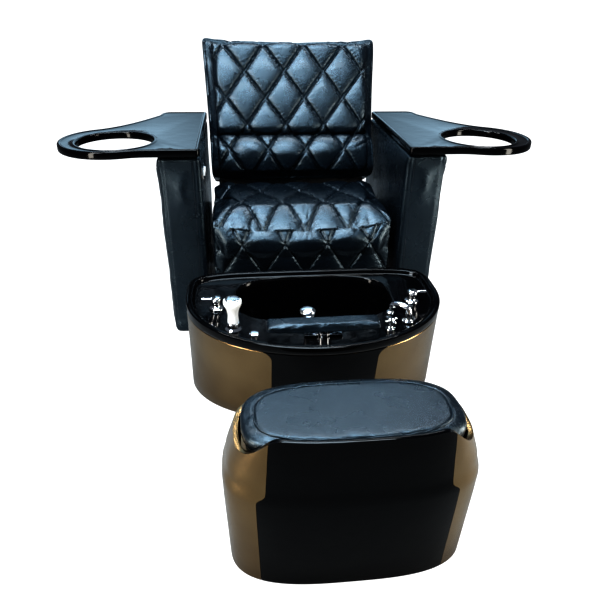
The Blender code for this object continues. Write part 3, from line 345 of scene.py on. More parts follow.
def loft(rings, loop=False):
    """Skin equal rings of points, closing them into a loop or capping both ends."""
    shape = bmesh.new()
    rows = [[shape.verts.new(point) for point in ring] for ring in rings]
    skin(shape, rows + rows[:1] if loop else rows)
    if not loop:
        shape.faces.new(rows[0])
        shape.faces.new(rows[-1])
    bmesh.ops.recalc_face_normals(shape, faces=shape.faces)
    return shape


def lathe(profile, segments=48, loop=False):
    """Turn (radius, z) points about the Z axis."""
    turns = [2.0 * math.pi * i / segments for i in range(segments)]
    return loft([[(r * math.cos(t), r * math.sin(t), z) for t in turns] for r, z in profile], loop)


def rounded(profile, radius, steps=4):
    """Round the inner corners of an open (radius, z) profile."""
    found = [profile[0]]
    for before, corner, after in zip(profile, profile[1:], profile[2:]):
        corner_point = Vector(corner)
        to_before = Vector(before) - corner_point
        to_after = Vector(after) - corner_point
        reach = min(radius, 0.45 * to_before.length, 0.45 * to_after.length)
        start = corner_point + to_before.normalized() * reach
        end = corner_point + to_after.normalized() * reach
        for i in range(steps + 1):
            t = i / steps
            point = start * (1.0 - t) ** 2 + corner_point * 2.0 * t * (1.0 - t) + end * t * t
            found.append(tuple(point))
    found.append(profile[-1])
    return found


def sweep(path, radii, segments=20):
    """A round tube through a path, with a radius at each point and closed ends."""
    rings = []
    side = Vector((0.0, 0.0, 1.0))
    for i, point in enumerate(path):
        ahead = Vector(path[min(i + 1, len(path) - 1)])
        behind = Vector(path[max(i - 1, 0)])
        along = (ahead - behind).normalized()
        if abs(along.dot(side)) > 0.95:
            side = Vector((1.0, 0.0, 0.0))
        across = along.cross(side).normalized()
        side = across.cross(along).normalized()
        ring = []
        for k in range(segments):
            turn = 2.0 * math.pi * k / segments
            ring.append(Vector(point) + (across * math.cos(turn) + side * math.sin(turn)) * radii[i])
        rings.append(ring)
    return loft(rings)


def bevelled(shape, edges, offset, segments):
    """Round a solid's edges in place."""
    bmesh.ops.bevel(shape, geom=edges, offset=offset, segments=segments, profile=0.5, affect="EDGES")


def joined(shapes):
    """Several solids in one bmesh."""
    whole = bmesh.new()
    for shape in shapes:
        mesh = bpy.data.meshes.new("part")
        shape.to_mesh(mesh)
        shape.free()
        whole.from_mesh(mesh)
        bpy.data.meshes.remove(mesh)
    return whole


def moved(shape, offset=(0.0, 0.0, 0.0), turn=0.0, axis="Z"):
    bmesh.ops.transform(shape, matrix=Matrix.Rotation(turn, 4, axis), verts=shape.verts)
    bmesh.ops.translate(shape, vec=Vector(offset), verts=shape.verts)
    return shape


def flipped(shape):
    """Mirror a bmesh across x = 0."""
    bmesh.ops.scale(shape, vec=(-1.0, 1.0, 1.0), verts=shape.verts)
    bmesh.ops.recalc_face_normals(shape, faces=shape.faces)
    return shape


def arc(centre, radius, start, end, steps):
    turns = [math.radians(start + (end - start) * i / steps) for i in range(steps + 1)]
    return [(centre[0] + radius * math.cos(t), centre[1] + radius * math.sin(t)) for t in turns]


def bezier(points, steps):
    """The points of a cubic curve, ends left out."""
    found = []
    for i in range(1, steps):
        t = i / steps
        weights = ((1 - t) ** 3, 3 * t * (1 - t) ** 2, 3 * t * t * (1 - t), t ** 3)
        found.append(tuple(sum(w * p[k] for w, p in zip(weights, points)) for k in range(2)))
    return found


def superellipse(angle, half_x, half_y, power):
    c = math.cos(angle)
    s = math.sin(angle)
    x = half_x * math.copysign(abs(c) ** (2.0 / power), c)
    y = half_y * math.copysign(abs(s) ** (2.0 / power), s)
    return x, y


def inset_point(outline, angle, inset):
    """The outline's point at an angle, moved inwards along its normal."""
    step = 0.004
    x, y = outline(angle)
    ahead = outline(angle + step)
    behind = outline(angle - step)
    tangent = Vector((ahead[0] - behind[0], ahead[1] - behind[1])).normalized()
    return x - tangent.y * inset, y + tangent.x * inset


def angle_at(outline, goal, start, end):
    """The angle between start and end at which the outline reaches x = goal."""
    low, high = start, end
    rising = outline(end)[0] > outline(start)[0]
    for _ in range(40):
        middle = 0.5 * (low + high)
        if (outline(middle)[0] < goal) == rising:
            low = middle
        else:
            high = middle
    return low


def ring_of(outline, z, inset, steps):
    turns = [2.0 * math.pi * i / steps for i in range(steps)]
    return [(*inset_point(outline, t, inset), z) for t in turns]


def smoothstep(low, high, value):
    share = min(1.0, max(0.0, (value - low) / (high - low)))
    return share * share * (3.0 - 2.0 * share)


# ---------------------------------------------------------------- padded pieces
def coordinates(piece):
    found = np.zeros(len(piece.data.vertices) * 3, np.float32)
    piece.data.vertices.foreach_get("co", found)
    return found.reshape(-1, 3).astype(float)


def normals(piece):
    found = np.zeros(len(piece.data.vertices) * 3, np.float32)
    piece.data.vertices.foreach_get("normal", found)
    return found.reshape(-1, 3).astype(float)


def write_back(piece, points):
    piece.data.vertices.foreach_set("co", points.astype(np.float32).ravel())
    piece.data.update()


def applied(piece):
    """Replace the mesh by its evaluated form and drop the modifiers."""
    graph = bpy.context.evaluated_depsgraph_get()
    mesh = bpy.data.meshes.new_from_object(piece.evaluated_get(graph))
    piece.modifiers.clear()
    piece.data = mesh
    return piece


def voxelled(shape, name, voxel=VOXEL):
    """A bmesh as an object with an even skin of quads."""
    piece = linked(shape, name)
    modifier = piece.modifiers.new("skin", "REMESH")
    modifier.mode = "VOXEL"
    modifier.voxel_size = voxel
    return applied(piece)


def swollen(piece, pressure, cap, held):
    """Blow the skin up as cloth; held gives how far each point may move, from 0 to 1."""
    start = coordinates(piece)
    cloth = piece.modifiers.new("padding", "CLOTH")
    cloth.settings.quality = 4
    cloth.settings.use_pressure = True
    cloth.settings.uniform_pressure_force = pressure
    cloth.settings.effector_weights.gravity = 0.0
    cloth.settings.tension_stiffness = 12.0
    cloth.settings.bending_stiffness = 0.8
    cloth.point_cache.frame_start = 1
    cloth.point_cache.frame_end = 20
    for number in range(1, 21):
        bpy.context.scene.frame_set(number)
    applied(piece)
    bpy.context.scene.frame_set(1)
    travel = coordinates(piece) - start
    length = np.linalg.norm(travel, axis=1, keepdims=True)
    travel *= np.minimum(1.0, cap / np.maximum(length, 1e-9))
    write_back(piece, start + travel * held(start)[:, None])
    return piece


def relaxed(piece, rounds):
    """Even out the voxel skin."""
    modifier = piece.modifiers.new("relax", "SMOOTH")
    modifier.factor = 0.5
    modifier.iterations = rounds
    return applied(piece)


def refined(piece):
    modifier = piece.modifiers.new("fine", "SUBSURF")
    modifier.levels = 1
    modifier.render_levels = 1
    return applied(piece)


def pushed(piece, heights):
    """Move each point along its normal."""
    write_back(piece, coordinates(piece) + normals(piece) * heights[:, None])
    return piece


def ramped(values, width):
    """0 below zero, rising to 1 at the width."""
    return np.clip(values / width, 0.0, 1.0)


def dip(distance, half):
    """1 on a line, falling off within its half width."""
    return np.exp(-(distance / half) ** 2)


def upholstered(piece, body, replaced, angle=60.0):
    """Dress a piece in leather, ride it on its body and put it in its nodes' place."""
    piece.data.materials.append(MATERIALS["black_leather"])
    finish_shading(piece, angle)
    settle(piece, body, replaced)


def eased(values, limit, give):
    """Values above a limit level off within give of it."""
    return np.where(values > limit, limit + give * (1.0 - np.exp(-(values - limit) / give)), values)


def seam_distance(across, along, quilt):
    """Distances to the two families of diamond seams."""
    width, height, across_0, along_0 = quilt
    slope = math.hypot(1.0 / width, 1.0 / height)
    first = (across - across_0) / width + (along - along_0) / height
    second = (across - across_0) / width - (along - along_0) / height
    return [np.abs(value - np.round(value)) / slope for value in (first, second)]


def pillow(distance, reach):
    """0 on a seam, rising steeply and then rounding off at reach."""
    share = np.clip(distance / reach, 0.0, 1.0)
    return np.sqrt(1.0 - (1.0 - share) ** 2)


def quilted(across, along, quilt, stuffing, border):
    """Height of a diamond-quilted surface; border is the distance to its edge seam."""
    fullness, seam_half, seam_depth = stuffing
    first, second = seam_distance(across, along, quilt)
    reach = 0.5 / math.hypot(1.0 / quilt[0], 1.0 / quilt[1])
    rise = (pillow(first, reach) * pillow(second, reach)) ** 0.85
    rise = rise * pillow(border, 0.030)
    nearest = np.minimum(np.minimum(first, second), border)
    groove = dip(nearest, seam_half)
    puckers = 0.0008 * np.sin(along * 410.0 + 3.0 * np.sin(across * 90.0)) * np.exp(-nearest / 0.012)
    return fullness * rise - seam_depth * groove + puckers * (1.0 - groove)


def box_shape(low, high, edge, segments=3):
    """A box with rounded edges between two corners."""
    shape = bmesh.new()
    bmesh.ops.create_cube(shape, size=1.0)
    for vert in shape.verts:
        vert.co = Vector(high[i] if vert.co[i] > 0 else low[i] for i in range(3))
    bevelled(shape, list(shape.edges), edge, segments)
    return shape


def stitches(name, places, body):
    """Short thread stitches at (point, direction, normal) places, sunk a little into the leather."""
    shape = bmesh.new()
    half_long, half_wide, half_high = 0.0021, 0.00055, 0.00050
    for point, direction, normal in places:
        side = direction.cross(normal).normalized()
        corners = []
        for u, v, w in ((-1, 0, -1), (-0.6, 1, 0), (-0.6, -1, 0), (-0.5, 0, 1),
                        (1, 0, -1), (0.6, 1, 0), (0.6, -1, 0), (0.5, 0, 1)):
            spot = point + direction * (u * half_long) + side * (v * half_wide) + normal * (w * half_high)
            corners.append(shape.verts.new(spot))
        a, b, c, d, e, f, g, h = corners
        for face in ((b, f, h, d), (d, h, g, c), (c, g, e, a), (a, e, f, b), (a, b, d, c), (e, g, h, f)):
            shape.faces.new(face)
    bmesh.ops.recalc_face_normals(shape, faces=shape.faces)
    piece = linked(shape, name)
    piece.data.materials.append(THREAD)
    finish_shading(piece, 80.0)
    settle(piece, body)


def surface_of(piece):
    graph = bpy.context.evaluated_depsgraph_get()
    return BVHTree.FromObject(piece, graph)


def stitch_run(surface, start, end, towards):
    """Places of stitches along a line, dropped onto the surface in one direction."""
    count = max(1, int((end - start).length / STITCH_PITCH))
    hits = []
    for i in range(count):
        point, normal, _, _ = surface.ray_cast(start + (end - start) * ((i + 0.5) / count), towards, 0.12)
        if point is not None and normal.dot(towards) < -0.2:
            hits.append((point, normal))
    places = []
    for (point, normal), (ahead, _) in zip(hits, hits[1:]):
        step = ahead - point
        if step.length < 2.5 * STITCH_PITCH:
            places.append((point, step.normalized(), normal))
    return places


def diamond_lines(quilt, across_half, along_low, along_high):
    """End points of the diamond seams, clipped to a rectangle."""
    width, height, across_0, along_0 = quilt
    lines = []
    for sign in (1.0, -1.0):
        slope = sign * width / height
        for number in range(-12, 13):
            base = across_0 + number * width
            inside = []
            for i in range(101):
                along = along_low + (along_high - along_low) * i / 100.0
                across = base + slope * (along - along_0)
                if abs(across) <= across_half:
                    inside.append((across, along))
            if len(inside) > 4:
                lines.append((inside[0], inside[-1]))
    return lines


# ---------------------------------------------------------------- seat
SEAT_CORNER = 0.030


def seat_along(points):
    """Distance over the seat's top and down its front, 0 where the top starts."""
    y = points[:, 1] - FRONT
    z = points[:, 2]
    bend = SEAT_TOP - SEAT_CORNER
    turn = np.arctan2(z - bend, SEAT_CORNER - y)
    corner = -(math.pi / 2.0 - turn) * SEAT_CORNER
    face = z - bend - math.pi / 2.0 * SEAT_CORNER
    return np.where(y > SEAT_CORNER, y - SEAT_CORNER, np.where(z < bend, face, corner))


def rolled(points):
    """Hold the cover to the seat's top, its front and the round roll between them."""
    limit, give = SEAT_CORNER + 0.001, 0.006
    out = FRONT + SEAT_CORNER - points[:, 1]
    up = points[:, 2] - SEAT_TOP + SEAT_CORNER
    reach = np.hypot(out, up)
    share = eased(reach, limit, give) / np.maximum(reach, 1e-6)
    round_part = (out > 0.0) & (up > 0.0)
    points[:, 1] = FRONT + SEAT_CORNER - np.where(round_part, out * share, eased(out, limit, give))
    points[:, 2] = SEAT_TOP - SEAT_CORNER + np.where(round_part, up * share, eased(up, limit, give))
    return points


def build_seat():
    """Seat cushion with its front roll and apron in one quilted cover."""
    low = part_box("seat_apron")[0].z + 0.002
    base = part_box("seat_cushion")[0].z + 0.001
    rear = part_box("seat_cushion")[1].y - FRONT + 0.003
    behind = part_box("seat_apron")[1].y - FRONT - 0.001
    top = SEAT_TOP - 0.028
    face = 0.027
    half = SEAT_HALF + 0.002
    profile = [(face, low + 0.008), (face + 0.010, low), (behind, low), (behind, base), (rear, base)]
    profile += [(rear, top - 0.008), (rear - 0.008, top)]
    profile += arc((face + 0.024, top - 0.024), 0.024, 90.0, 180.0, 6)
    shape = loft([[(x, FRONT + y, z) for y, z in profile] for x in (-half, half)])
    ends = [edge for edge in shape.edges if abs(edge.verts[0].co.x - edge.verts[1].co.x) < 1e-6]
    bevelled(shape, ends, 0.010, 2)
    piece = relaxed(voxelled(shape, "seat_cover"), 2)

    def held(points):
        rise = ramped(points[:, 2] - base - 0.004, 0.03)
        apron = ramped(FRONT + 0.035 - points[:, 1], 0.02)
        side = np.clip((SEAT_HALF + 0.004 - np.abs(points[:, 0])) / 0.03, 0.25, 1.0)
        return np.maximum(rise, 0.5 * apron) * side

    refined(swollen(piece, 4.0, 0.022, held))
    points = coordinates(piece)
    facing = normals(piece)
    border = np.minimum(SEAT_HALF + 0.003 - np.abs(points[:, 0]), FRONT + rear - 0.016 - points[:, 1])
    shown = ramped(np.maximum(facing[:, 2], -facing[:, 1]) - 0.25, 0.3)
    heights = quilted(points[:, 0], seat_along(points), SEAT_QUILT, SEAT_STUFFING, np.maximum(border, 0.0))
    pushed(piece, heights * shown)
    points = coordinates(piece)
    write_back(piece, rolled(points))
    upholstered(piece, "carriage", ("seat_cushion", "seat_apron"), 75.0)

    surface = surface_of(piece)
    places = []
    for line in diamond_lines(SEAT_QUILT, SEAT_HALF - 0.02, 0.004, 0.370):
        ends = [Vector((x, FRONT + SEAT_CORNER + along, SEAT_TOP + 0.05)) for x, along in line]
        places += stitch_run(surface, *ends, Vector((0, 0, -1)))
    bend = SEAT_TOP - SEAT_CORNER + math.pi / 2.0 * SEAT_CORNER
    for line in diamond_lines(SEAT_QUILT, SEAT_HALF - 0.02, low - bend + 0.008, -0.050):
        ends = [Vector((x, FRONT - 0.05, bend + along)) for x, along in line]
        places += stitch_run(surface, *ends, Vector((0, 1, 0)))
    stitches("seat_stitching", places, "carriage")


# ---------------------------------------------------------------- back
def back_half(height):
    return 0.306 + 0.016 * height / 0.605


def splay(height):
    """How much the back's diamonds narrow towards its foot."""
    return 1.0 + 0.055 * (BACK_QUILT[3] - height) / 0.39


def tilted(y, height):
    """World (y, z) of a point in the back's own upright frame about the hinge."""
    c = math.cos(BACK_TILT)
    s = math.sin(BACK_TILT)
    return HINGE.y + y * c + height * s, HINGE.z + height * c - y * s


def upright(points):
    """The back's own (y, height) of world points."""
    c = math.cos(BACK_TILT)
    s = math.sin(BACK_TILT)
    y = points[:, 1] - HINGE.y
    z = points[:, 2] - HINGE.z
    return y * c - z * s, z * c + y * s


def back_prism(profile, inset, edge):
    """A solid across the back's width from an upright (y, height) profile."""
    rings = []
    for side in (-1.0, 1.0):
        rings.append([(side * (back_half(height) - inset(y, height)), *tilted(y, height))
                      for y, height in profile])
    shape = loft(rings)
    ends = [e for e in shape.edges if e.verts[0].co.x * e.verts[1].co.x > 0.0 and len(e.link_faces) == 2
            and max(len(f.verts) for f in e.link_faces) > 4]
    bevelled(shape, ends, edge, 3)
    return shape


def build_back():
    """Quilted back cushion with its lumbar roll, and the padded shell behind it."""
    rear = -0.0330
    crease = 0.238
    profile = [(rear, 0.083), (-0.090, 0.081)]
    profile += arc((-0.104, 0.122), 0.041, 262.0, 186.0, 5)
    profile += [(-0.143, 0.165), (-0.139, 0.194), (-0.128, 0.216), (-0.106, crease)]
    profile += [(-0.108, 0.262), (-0.109, 0.420), (-0.108, 0.540)]
    profile += arc((-0.079, 0.582), 0.029, 180.0, 90.0, 4)
    profile += arc((-0.055, 0.590), 0.021, 90.0, 0.0, 3)

    def narrowed(y, height):
        return 0.001 - 0.008 * smoothstep(0.38, 0.55, height)

    piece = relaxed(voxelled(back_prism(profile, narrowed, 0.013), "back_cover"), 2)

    def held(points):
        y, height = upright(points)
        front = ramped(rear - 0.012 - y, 0.03)
        fold = 1.0 - 0.9 * dip(height - crease, 0.012)
        side = np.clip((back_half(height) - 0.002 - np.abs(points[:, 0])) / 0.03, 0.15, 1.0)
        return front * fold * side

    refined(swollen(piece, 4.0, 0.022, held))
    points = coordinates(piece)
    facing = normals(piece)
    y, height = upright(points)
    ahead = -(facing[:, 1] * math.cos(BACK_TILT) - facing[:, 2] * math.sin(BACK_TILT))
    side = back_half(height) - BACK_EDGING - np.abs(points[:, 0])
    border = np.minimum(np.minimum(side, BACK_BORDER - height), height - 0.096)
    across = points[:, 0] * splay(height)
    fold = np.abs(height - crease)
    shown = ramped(ahead - 0.15, 0.3)
    heights = quilted(across, height, BACK_QUILT, BACK_STUFFING, np.maximum(np.minimum(border, fold), 0.0))
    pushed(piece, heights * shown)
    points = coordinates(piece)
    y, height = upright(points)
    over = (-y - eased(-y, 0.140, 0.008)) * ramped(height - crease, 0.03)
    points[:, 1] += over * math.cos(BACK_TILT)
    points[:, 2] -= over * math.sin(BACK_TILT)
    write_back(piece, points)
    upholstered(piece, "back", ("back_cushion",), 75.0)

    surface = surface_of(piece)
    inwards = Vector((0.0, math.cos(BACK_TILT), -math.sin(BACK_TILT)))
    places = []

    def spot(across, height):
        return Vector((across / splay(height), *tilted(AHEAD, height)))

    for low, high in ((crease + 0.004, BACK_BORDER - 0.002), (0.105, crease - 0.004)):
        for start, end in diamond_lines(BACK_QUILT, back_half(low) - 0.026, low, high):
            places += stitch_run(surface, spot(*start), spot(*end), inwards)
    for side in (-1.0, 1.0):
        start = Vector((side * (back_half(0.11) - BACK_EDGING), *tilted(AHEAD, 0.11)))
        end = Vector((side * (back_half(BACK_BORDER) - BACK_EDGING), *tilted(AHEAD, BACK_BORDER)))
        places += stitch_run(surface, start, end, inwards)
    edge = back_half(BACK_BORDER) - BACK_EDGING
    places += stitch_run(surface, Vector((-edge, *tilted(AHEAD, BACK_BORDER))),
                         Vector((edge, *tilted(AHEAD, BACK_BORDER))), inwards)
    stitches("back_stitching", places, "back")

    front = -0.0140
    profile = [(front, 0.084), (0.016, 0.084), (0.024, 0.092), (0.024, 0.585), (0.016, 0.597),
               (front, 0.597)]
    shell = back_prism(profile, lambda y, height: 0.002 + 0.004 * smoothstep(front, 0.020, y), 0.006)
    piece = relaxed(voxelled(shell, "back_rear_cover", 0.0075), 2)

    def rear_held(points):
        y, height = upright(points)
        middle = dip(np.abs(points[:, 0]) - 0.10, 0.004)
        return ramped(y - 0.010, 0.012) * (1.0 - 0.8 * middle)

    refined(swollen(piece, 3.0, 0.010, rear_held))
    points = coordinates(piece)
    y, height = upright(points)
    seam = np.minimum(np.abs(np.abs(points[:, 0]) - 0.10), np.abs(height - 0.340))
    behind = ramped(y - 0.020, 0.004)
    pushed(piece, -0.0030 * dip(seam, 0.003) * behind)
    upholstered(piece, "back", ("back_shell",))


# ---------------------------------------------------------------- arms and rear panel
def build_arm(side, label):
    """Padded arm with seams along its front and inner edges."""
    low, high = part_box("arm_" + label)
    inner = ARM_INNER + 0.001
    outer_low = max(abs(low.x), abs(high.x)) - 0.012
    outer_top = outer_low + 0.004
    front = low.y + 0.005
    rear = high.y - 0.004
    rings = []
    for z, outer in ((low.z + 0.002, outer_low - 0.004), (ARM_TOP - 0.002, outer_top)):
        rings.append([(inner, front, z), (outer, front, z), (outer, rear, z), (inner, rear, z)])
    shape = loft(rings)
    bevelled(shape, list(shape.edges), 0.012, 3)
    if side < 0:
        flipped(shape)
    piece = relaxed(voxelled(shape, "arm_cover_" + label, 0.008), 2)

    def held(points):
        x = np.abs(points[:, 0])
        outside = ramped(x - inner - 0.05, 0.05)
        frontal = ramped(front + 0.02 - points[:, 1], 0.02)
        under = ramped(ARM_TOP - 0.012 - points[:, 2], 0.02)
        return np.maximum(outside, frontal) * under * ramped(points[:, 2] - 0.03, 0.03)

    refined(swollen(piece, 3.0, 0.007, held))
    points = coordinates(piece)
    x = np.abs(points[:, 0])
    y = points[:, 1]
    z = points[:, 2]
    faces_front = ramped(front + 0.010 - y, 0.006)
    seams = np.minimum(np.abs(x - inner - 0.020), np.abs(x - outer_top + 0.018))
    groove = dip(seams, GROOVE) * faces_front
    outer_face = ramped(x - outer_top + 0.004, 0.003)
    top_seam = np.minimum(np.abs(z - ARM_TOP + 0.040), np.abs(y - front - 0.030))
    groove = np.maximum(groove, dip(top_seam, GROOVE) * outer_face)
    slack = 0.0012 * np.sin(z * 21.0 + 2.2 * np.sin(y * 9.0) + x * 30.0) * np.sin(y * 13.0 + z * 5.0)
    pushed(piece, slack * (1.0 - groove) - 0.0028 * groove)
    upholstered(piece, "root", ("arm_" + label,))

    surface = surface_of(piece)
    places = []
    for offset in (inner + 0.0245, outer_top - 0.0225):
        places += stitch_run(surface, Vector((side * offset, front - 0.05, 0.03)),
                             Vector((side * offset, front - 0.05, ARM_TOP - 0.020)), Vector((0, 1, 0)))
    places += stitch_run(surface, Vector((side * 0.52, front + 0.040, ARM_TOP - 0.0445)),
                         Vector((side * 0.52, rear - 0.030, ARM_TOP - 0.0445)), Vector((-side, 0, 0)))
    stitches("arm_stitching_" + label, places, "root")


def build_rear_panel():
    """Upholstered panel between the arms at the back."""
    low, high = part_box("rear_panel")
    shape = box_shape(low + Vector((0.001, 0.001, 0.001)), high - Vector((0.001, 0.003, 0.001)), 0.003)
    piece = relaxed(voxelled(shape, "rear_panel_cover", 0.0055), 1)

    def held(points):
        hub = np.hypot(points[:, 0] - 0.200, points[:, 2] - 0.105)
        away = ramped(hub - 0.045, 0.02)
        return ramped(points[:, 1] - high.y + 0.008, 0.004) * away

    refined(swollen(piece, 2.0, 0.005, held))
    points = coordinates(piece)
    edge = np.minimum(np.abs(np.abs(points[:, 0]) - high.x + 0.020), np.abs(points[:, 2] - high.z + 0.020))
    behind = ramped(points[:, 1] - high.y + 0.006, 0.003)
    pushed(piece, -0.0018 * dip(edge, GROOVE) * behind)
    upholstered(piece, "root", ("rear_panel",))


# ---------------------------------------------------------------- trays
def offset_polygon(points, inset):
    """An anticlockwise polygon moved inwards along its corner normals."""
    found = []
    count = len(points)
    for i in range(count):
        before = Vector(points[i]) - Vector(points[i - 1])
        after = Vector(points[(i + 1) % count]) - Vector(points[i])
        first = Vector((-before.y, before.x)).normalized()
        second = Vector((-after.y, after.x)).normalized()
        normal = first + second
        scale = inset / max(0.35, normal.length_squared / 2.0)
        found.append((points[i][0] + normal.x * scale, points[i][1] + normal.y * scale))
    return found


def tray_outline():
    """Outline of the right-hand tray, anticlockwise from its inner front corner."""
    x, y = RING_CENTRE
    front = y - RING_R + 0.020
    inner = ARM_INNER
    rear = FRONT + 0.556
    corner = 0.012
    taper = math.radians(62.0)
    join = (x + RING_R * math.cos(taper), y + RING_R * math.sin(taper))
    outline = arc((inner + corner, front + corner), corner, 180.0, 270.0, 8)
    outline += [(0.400, front), (0.440, front), (0.480, front)]
    outline += bezier([(0.480, front), (0.530, front), (0.548, front - 0.018), (0.590, front - 0.020)], 14)
    outline += arc(RING_CENTRE, RING_R, -92.0, 62.0, 60)
    hollow = (join[0] - 0.080, join[1] + 0.042)
    outline += bezier([join, hollow, (0.541, FRONT + 0.405), (0.488, FRONT + 0.508)], 24)
    outline += arc((0.455, rear - 0.034), 0.034, 10.0, 90.0, 16)
    outline += arc((inner + corner, rear - corner), corner, 90.0, 180.0, 8)
    return outline


def filled(shape, loops):
    """Fill the flat region between vertex loops."""
    edges = []
    for row in loops:
        for i, vert in enumerate(row):
            pair = (vert, row[(i + 1) % len(row)])
            edges.append(shape.edges.get(pair) or shape.edges.new(pair))
    bmesh.ops.triangle_fill(shape, edges=edges, use_beauty=True)


def wall_rows(shape, rings):
    rows = [[shape.verts.new(point) for point in ring] for ring in rings]
    skin(shape, rows)
    return rows


def build_tray(side, label, body):
    """Moulded tray: rounded rim, slightly sunk top, bowl hole and the post under it."""
    outline = tray_outline()
    low = TRAY_LOW
    top = TRAY_TOP
    rim = ((0.0050, low), (0.0020, low + 0.0006), (0.0004, low + 0.0022), (0.0, low + 0.0050),
           (0.0, top - 0.0060), (0.0006, top - 0.0032), (0.0024, top - 0.0010), (0.0050, top),
           (0.0085, top), (0.0105, top - 0.0008), (0.0125, top - 0.0022), (0.0145, top - 0.0026))
    shape = bmesh.new()
    outer = wall_rows(shape, [[(*point, z) for point in offset_polygon(outline, inset)] for inset, z in rim])
    circle = arc(BOWL_HOLE, BOWL_HOLE_R, 0.0, 360.0, 96)[:-1]
    x, y = BOWL_HOLE
    holes = []
    for inset, z in rim:
        grow = 1.0 + inset / BOWL_HOLE_R
        holes.append([(x + (px - x) * grow, y + (py - y) * grow, z) for px, py in circle])
    inner = wall_rows(shape, holes)
    filled(shape, (outer[0], inner[0]))
    filled(shape, (outer[-1], inner[-1]))
    bmesh.ops.recalc_face_normals(shape, faces=shape.faces)
    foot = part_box("tray_" + label)[0].z
    post = lathe([(0.0140, foot), (0.0160, foot + 0.002), (0.0160, low + 0.003), (0.0150, low + 0.004)], 40)
    shape = joined([shape, moved(post, (abs(TRAY_PIVOT.x), TRAY_PIVOT.y, 0.0))])
    if side < 0:
        flipped(shape)
    add_piece(shape, "tray_top_" + label, body, "gloss_black", ("tray_" + label,), 30.0)


# ---------------------------------------------------------------- basin
def basin_outline(z):
    """The basin's outline at a height: half an ellipse in front and a squarer rear."""
    front = BASIN_FRONT_FLOOR + (BASIN_FRONT_RIM - BASIN_FRONT_FLOOR) * z / RIM_TOP

    def outline(angle):
        if math.sin(angle) < 0.0:
            x, y = superellipse(angle, BASIN_HALF, front, 2.05)
        else:
            x, y = superellipse(angle, BASIN_HALF, BASIN_REAR, 5.0)
        return x, BASIN_Y + y

    return outline


def opening_outline(share):
    """The bowl's outline, drawn in by a share of its size."""

    def outline(angle):
        reach, power = (OPENING_FRONT, 2.7) if math.sin(angle) < 0.0 else (OPENING_REAR, 3.2)
        x, y = superellipse(angle, OPENING_HALF * share, reach * share, power)
        return x, OPENING_Y + y

    return outline


def build_tub():
    """Glossy rim, deck and bowl, with a drain hole in its floor."""
    steps = 176
    wall = 0.005
    floor = BOWL_LOW + wall
    skirt = RIM_TOP - RIM_BAND
    rim = basin_outline(RIM_TOP)
    band = basin_outline(skirt)
    rings = [ring_of(band, skirt, 0.001, steps), ring_of(band, skirt + 0.0010, 0.0, steps)]
    for rise, inset in ((0.010, 0.0004), (0.022, -0.0006), (0.0252, -0.0004), (0.0268, 0.0014),
                        (0.0276, 0.0038)):
        rings.append(ring_of(rim, skirt + rise, inset, steps))
    for inset, drop in ((0.0065, 0.0), (0.0130, 0.0), (0.0160, 0.0006), (0.0185, 0.0026), (0.0205, 0.0062),
                        (0.0225, 0.0100), (0.0250, 0.0128), (0.0285, 0.0140)):
        rings.append(ring_of(rim, RIM_TOP - drop, inset, steps))
    levels = ((1.004, DECK_Z), (0.994, DECK_Z - 0.0006), (0.984, DECK_Z - 0.0022), (0.975, DECK_Z - 0.0050),
              (0.966, DECK_Z - 0.0100), (0.955, DECK_Z - 0.0190), (0.930, 0.240), (0.900, 0.200),
              (0.870, 0.158),
              (0.840, 0.120), (0.822, floor + 0.030), (0.797, floor + 0.017), (0.760, floor + 0.008),
              (0.710, floor + 0.002), (0.640, floor))
    rings += [ring_of(opening_outline(share), z, 0.0, steps) for share, z in levels]
    drain = arc((0.0, DRAIN_Y), 0.0225, 0.0, 360.0, steps)[:-1]
    rings.append([(*point, floor) for point in drain])
    rings.append([(*point, BOWL_LOW) for point in drain])
    for share, z in reversed(levels[3:]):
        rings.append(ring_of(opening_outline(share), z - wall * 0.6, -wall, steps))
    rings.append(ring_of(opening_outline(1.0), DECK_Z - wall, -0.006, steps))
    rings.append(ring_of(rim, DECK_Z - wall, 0.022, steps))
    rings.append(ring_of(band, skirt, 0.005, steps))
    add_piece(loft(rings, True), "basin_bowl", "root", "gloss_black", ("basin_tub",), 35.0)


def panel_split(z):
    """Half the width of the black centre panel; it flares into the rim band at the top."""
    flare = 0.030
    start = RIM_TOP - RIM_BAND - flare
    if z <= start:
        return PANEL_HALF
    rise = min(1.0, (z - start) / flare)
    return PANEL_HALF + flare * (1.0 - math.sqrt(max(0.0, 1.0 - rise * rise)))


def basin_wall(span, steps):
    """A strip of the basin's wall with softly rounded edges."""
    top = RIM_TOP - RIM_BAND - GAP
    low = SHELL_FLOOR
    thickness = 0.005
    heights = [low + 0.0016, 0.050, 0.095, 0.140, 0.190, 0.225]
    heights += [top - 0.030 * share for share in (1.0, 0.8, 0.6, 0.42, 0.28, 0.16, 0.08, 0.04)]
    section = [(low, 0.0020), (low + 0.0005, 0.0006)] + [(z, 0.0) for z in heights] + [(top, 0.0008)]
    section += [(top, thickness), (0.140, thickness), (low, thickness)]
    soft = 0.0015
    rings = []
    for i in range(-1, steps + 2):
        ring = []
        for z, inset in section:
            first, last = span(z)
            share = min(1.0, max(0.0, i / steps))
            angle = first + (last - first) * share
            drawn = soft if i in (-1, steps + 1) and inset < soft else 0.0
            ring.append((*inset_point(basin_outline(z), angle, max(inset, drawn)), z))
        rings.append(ring)
    return loft(rings)


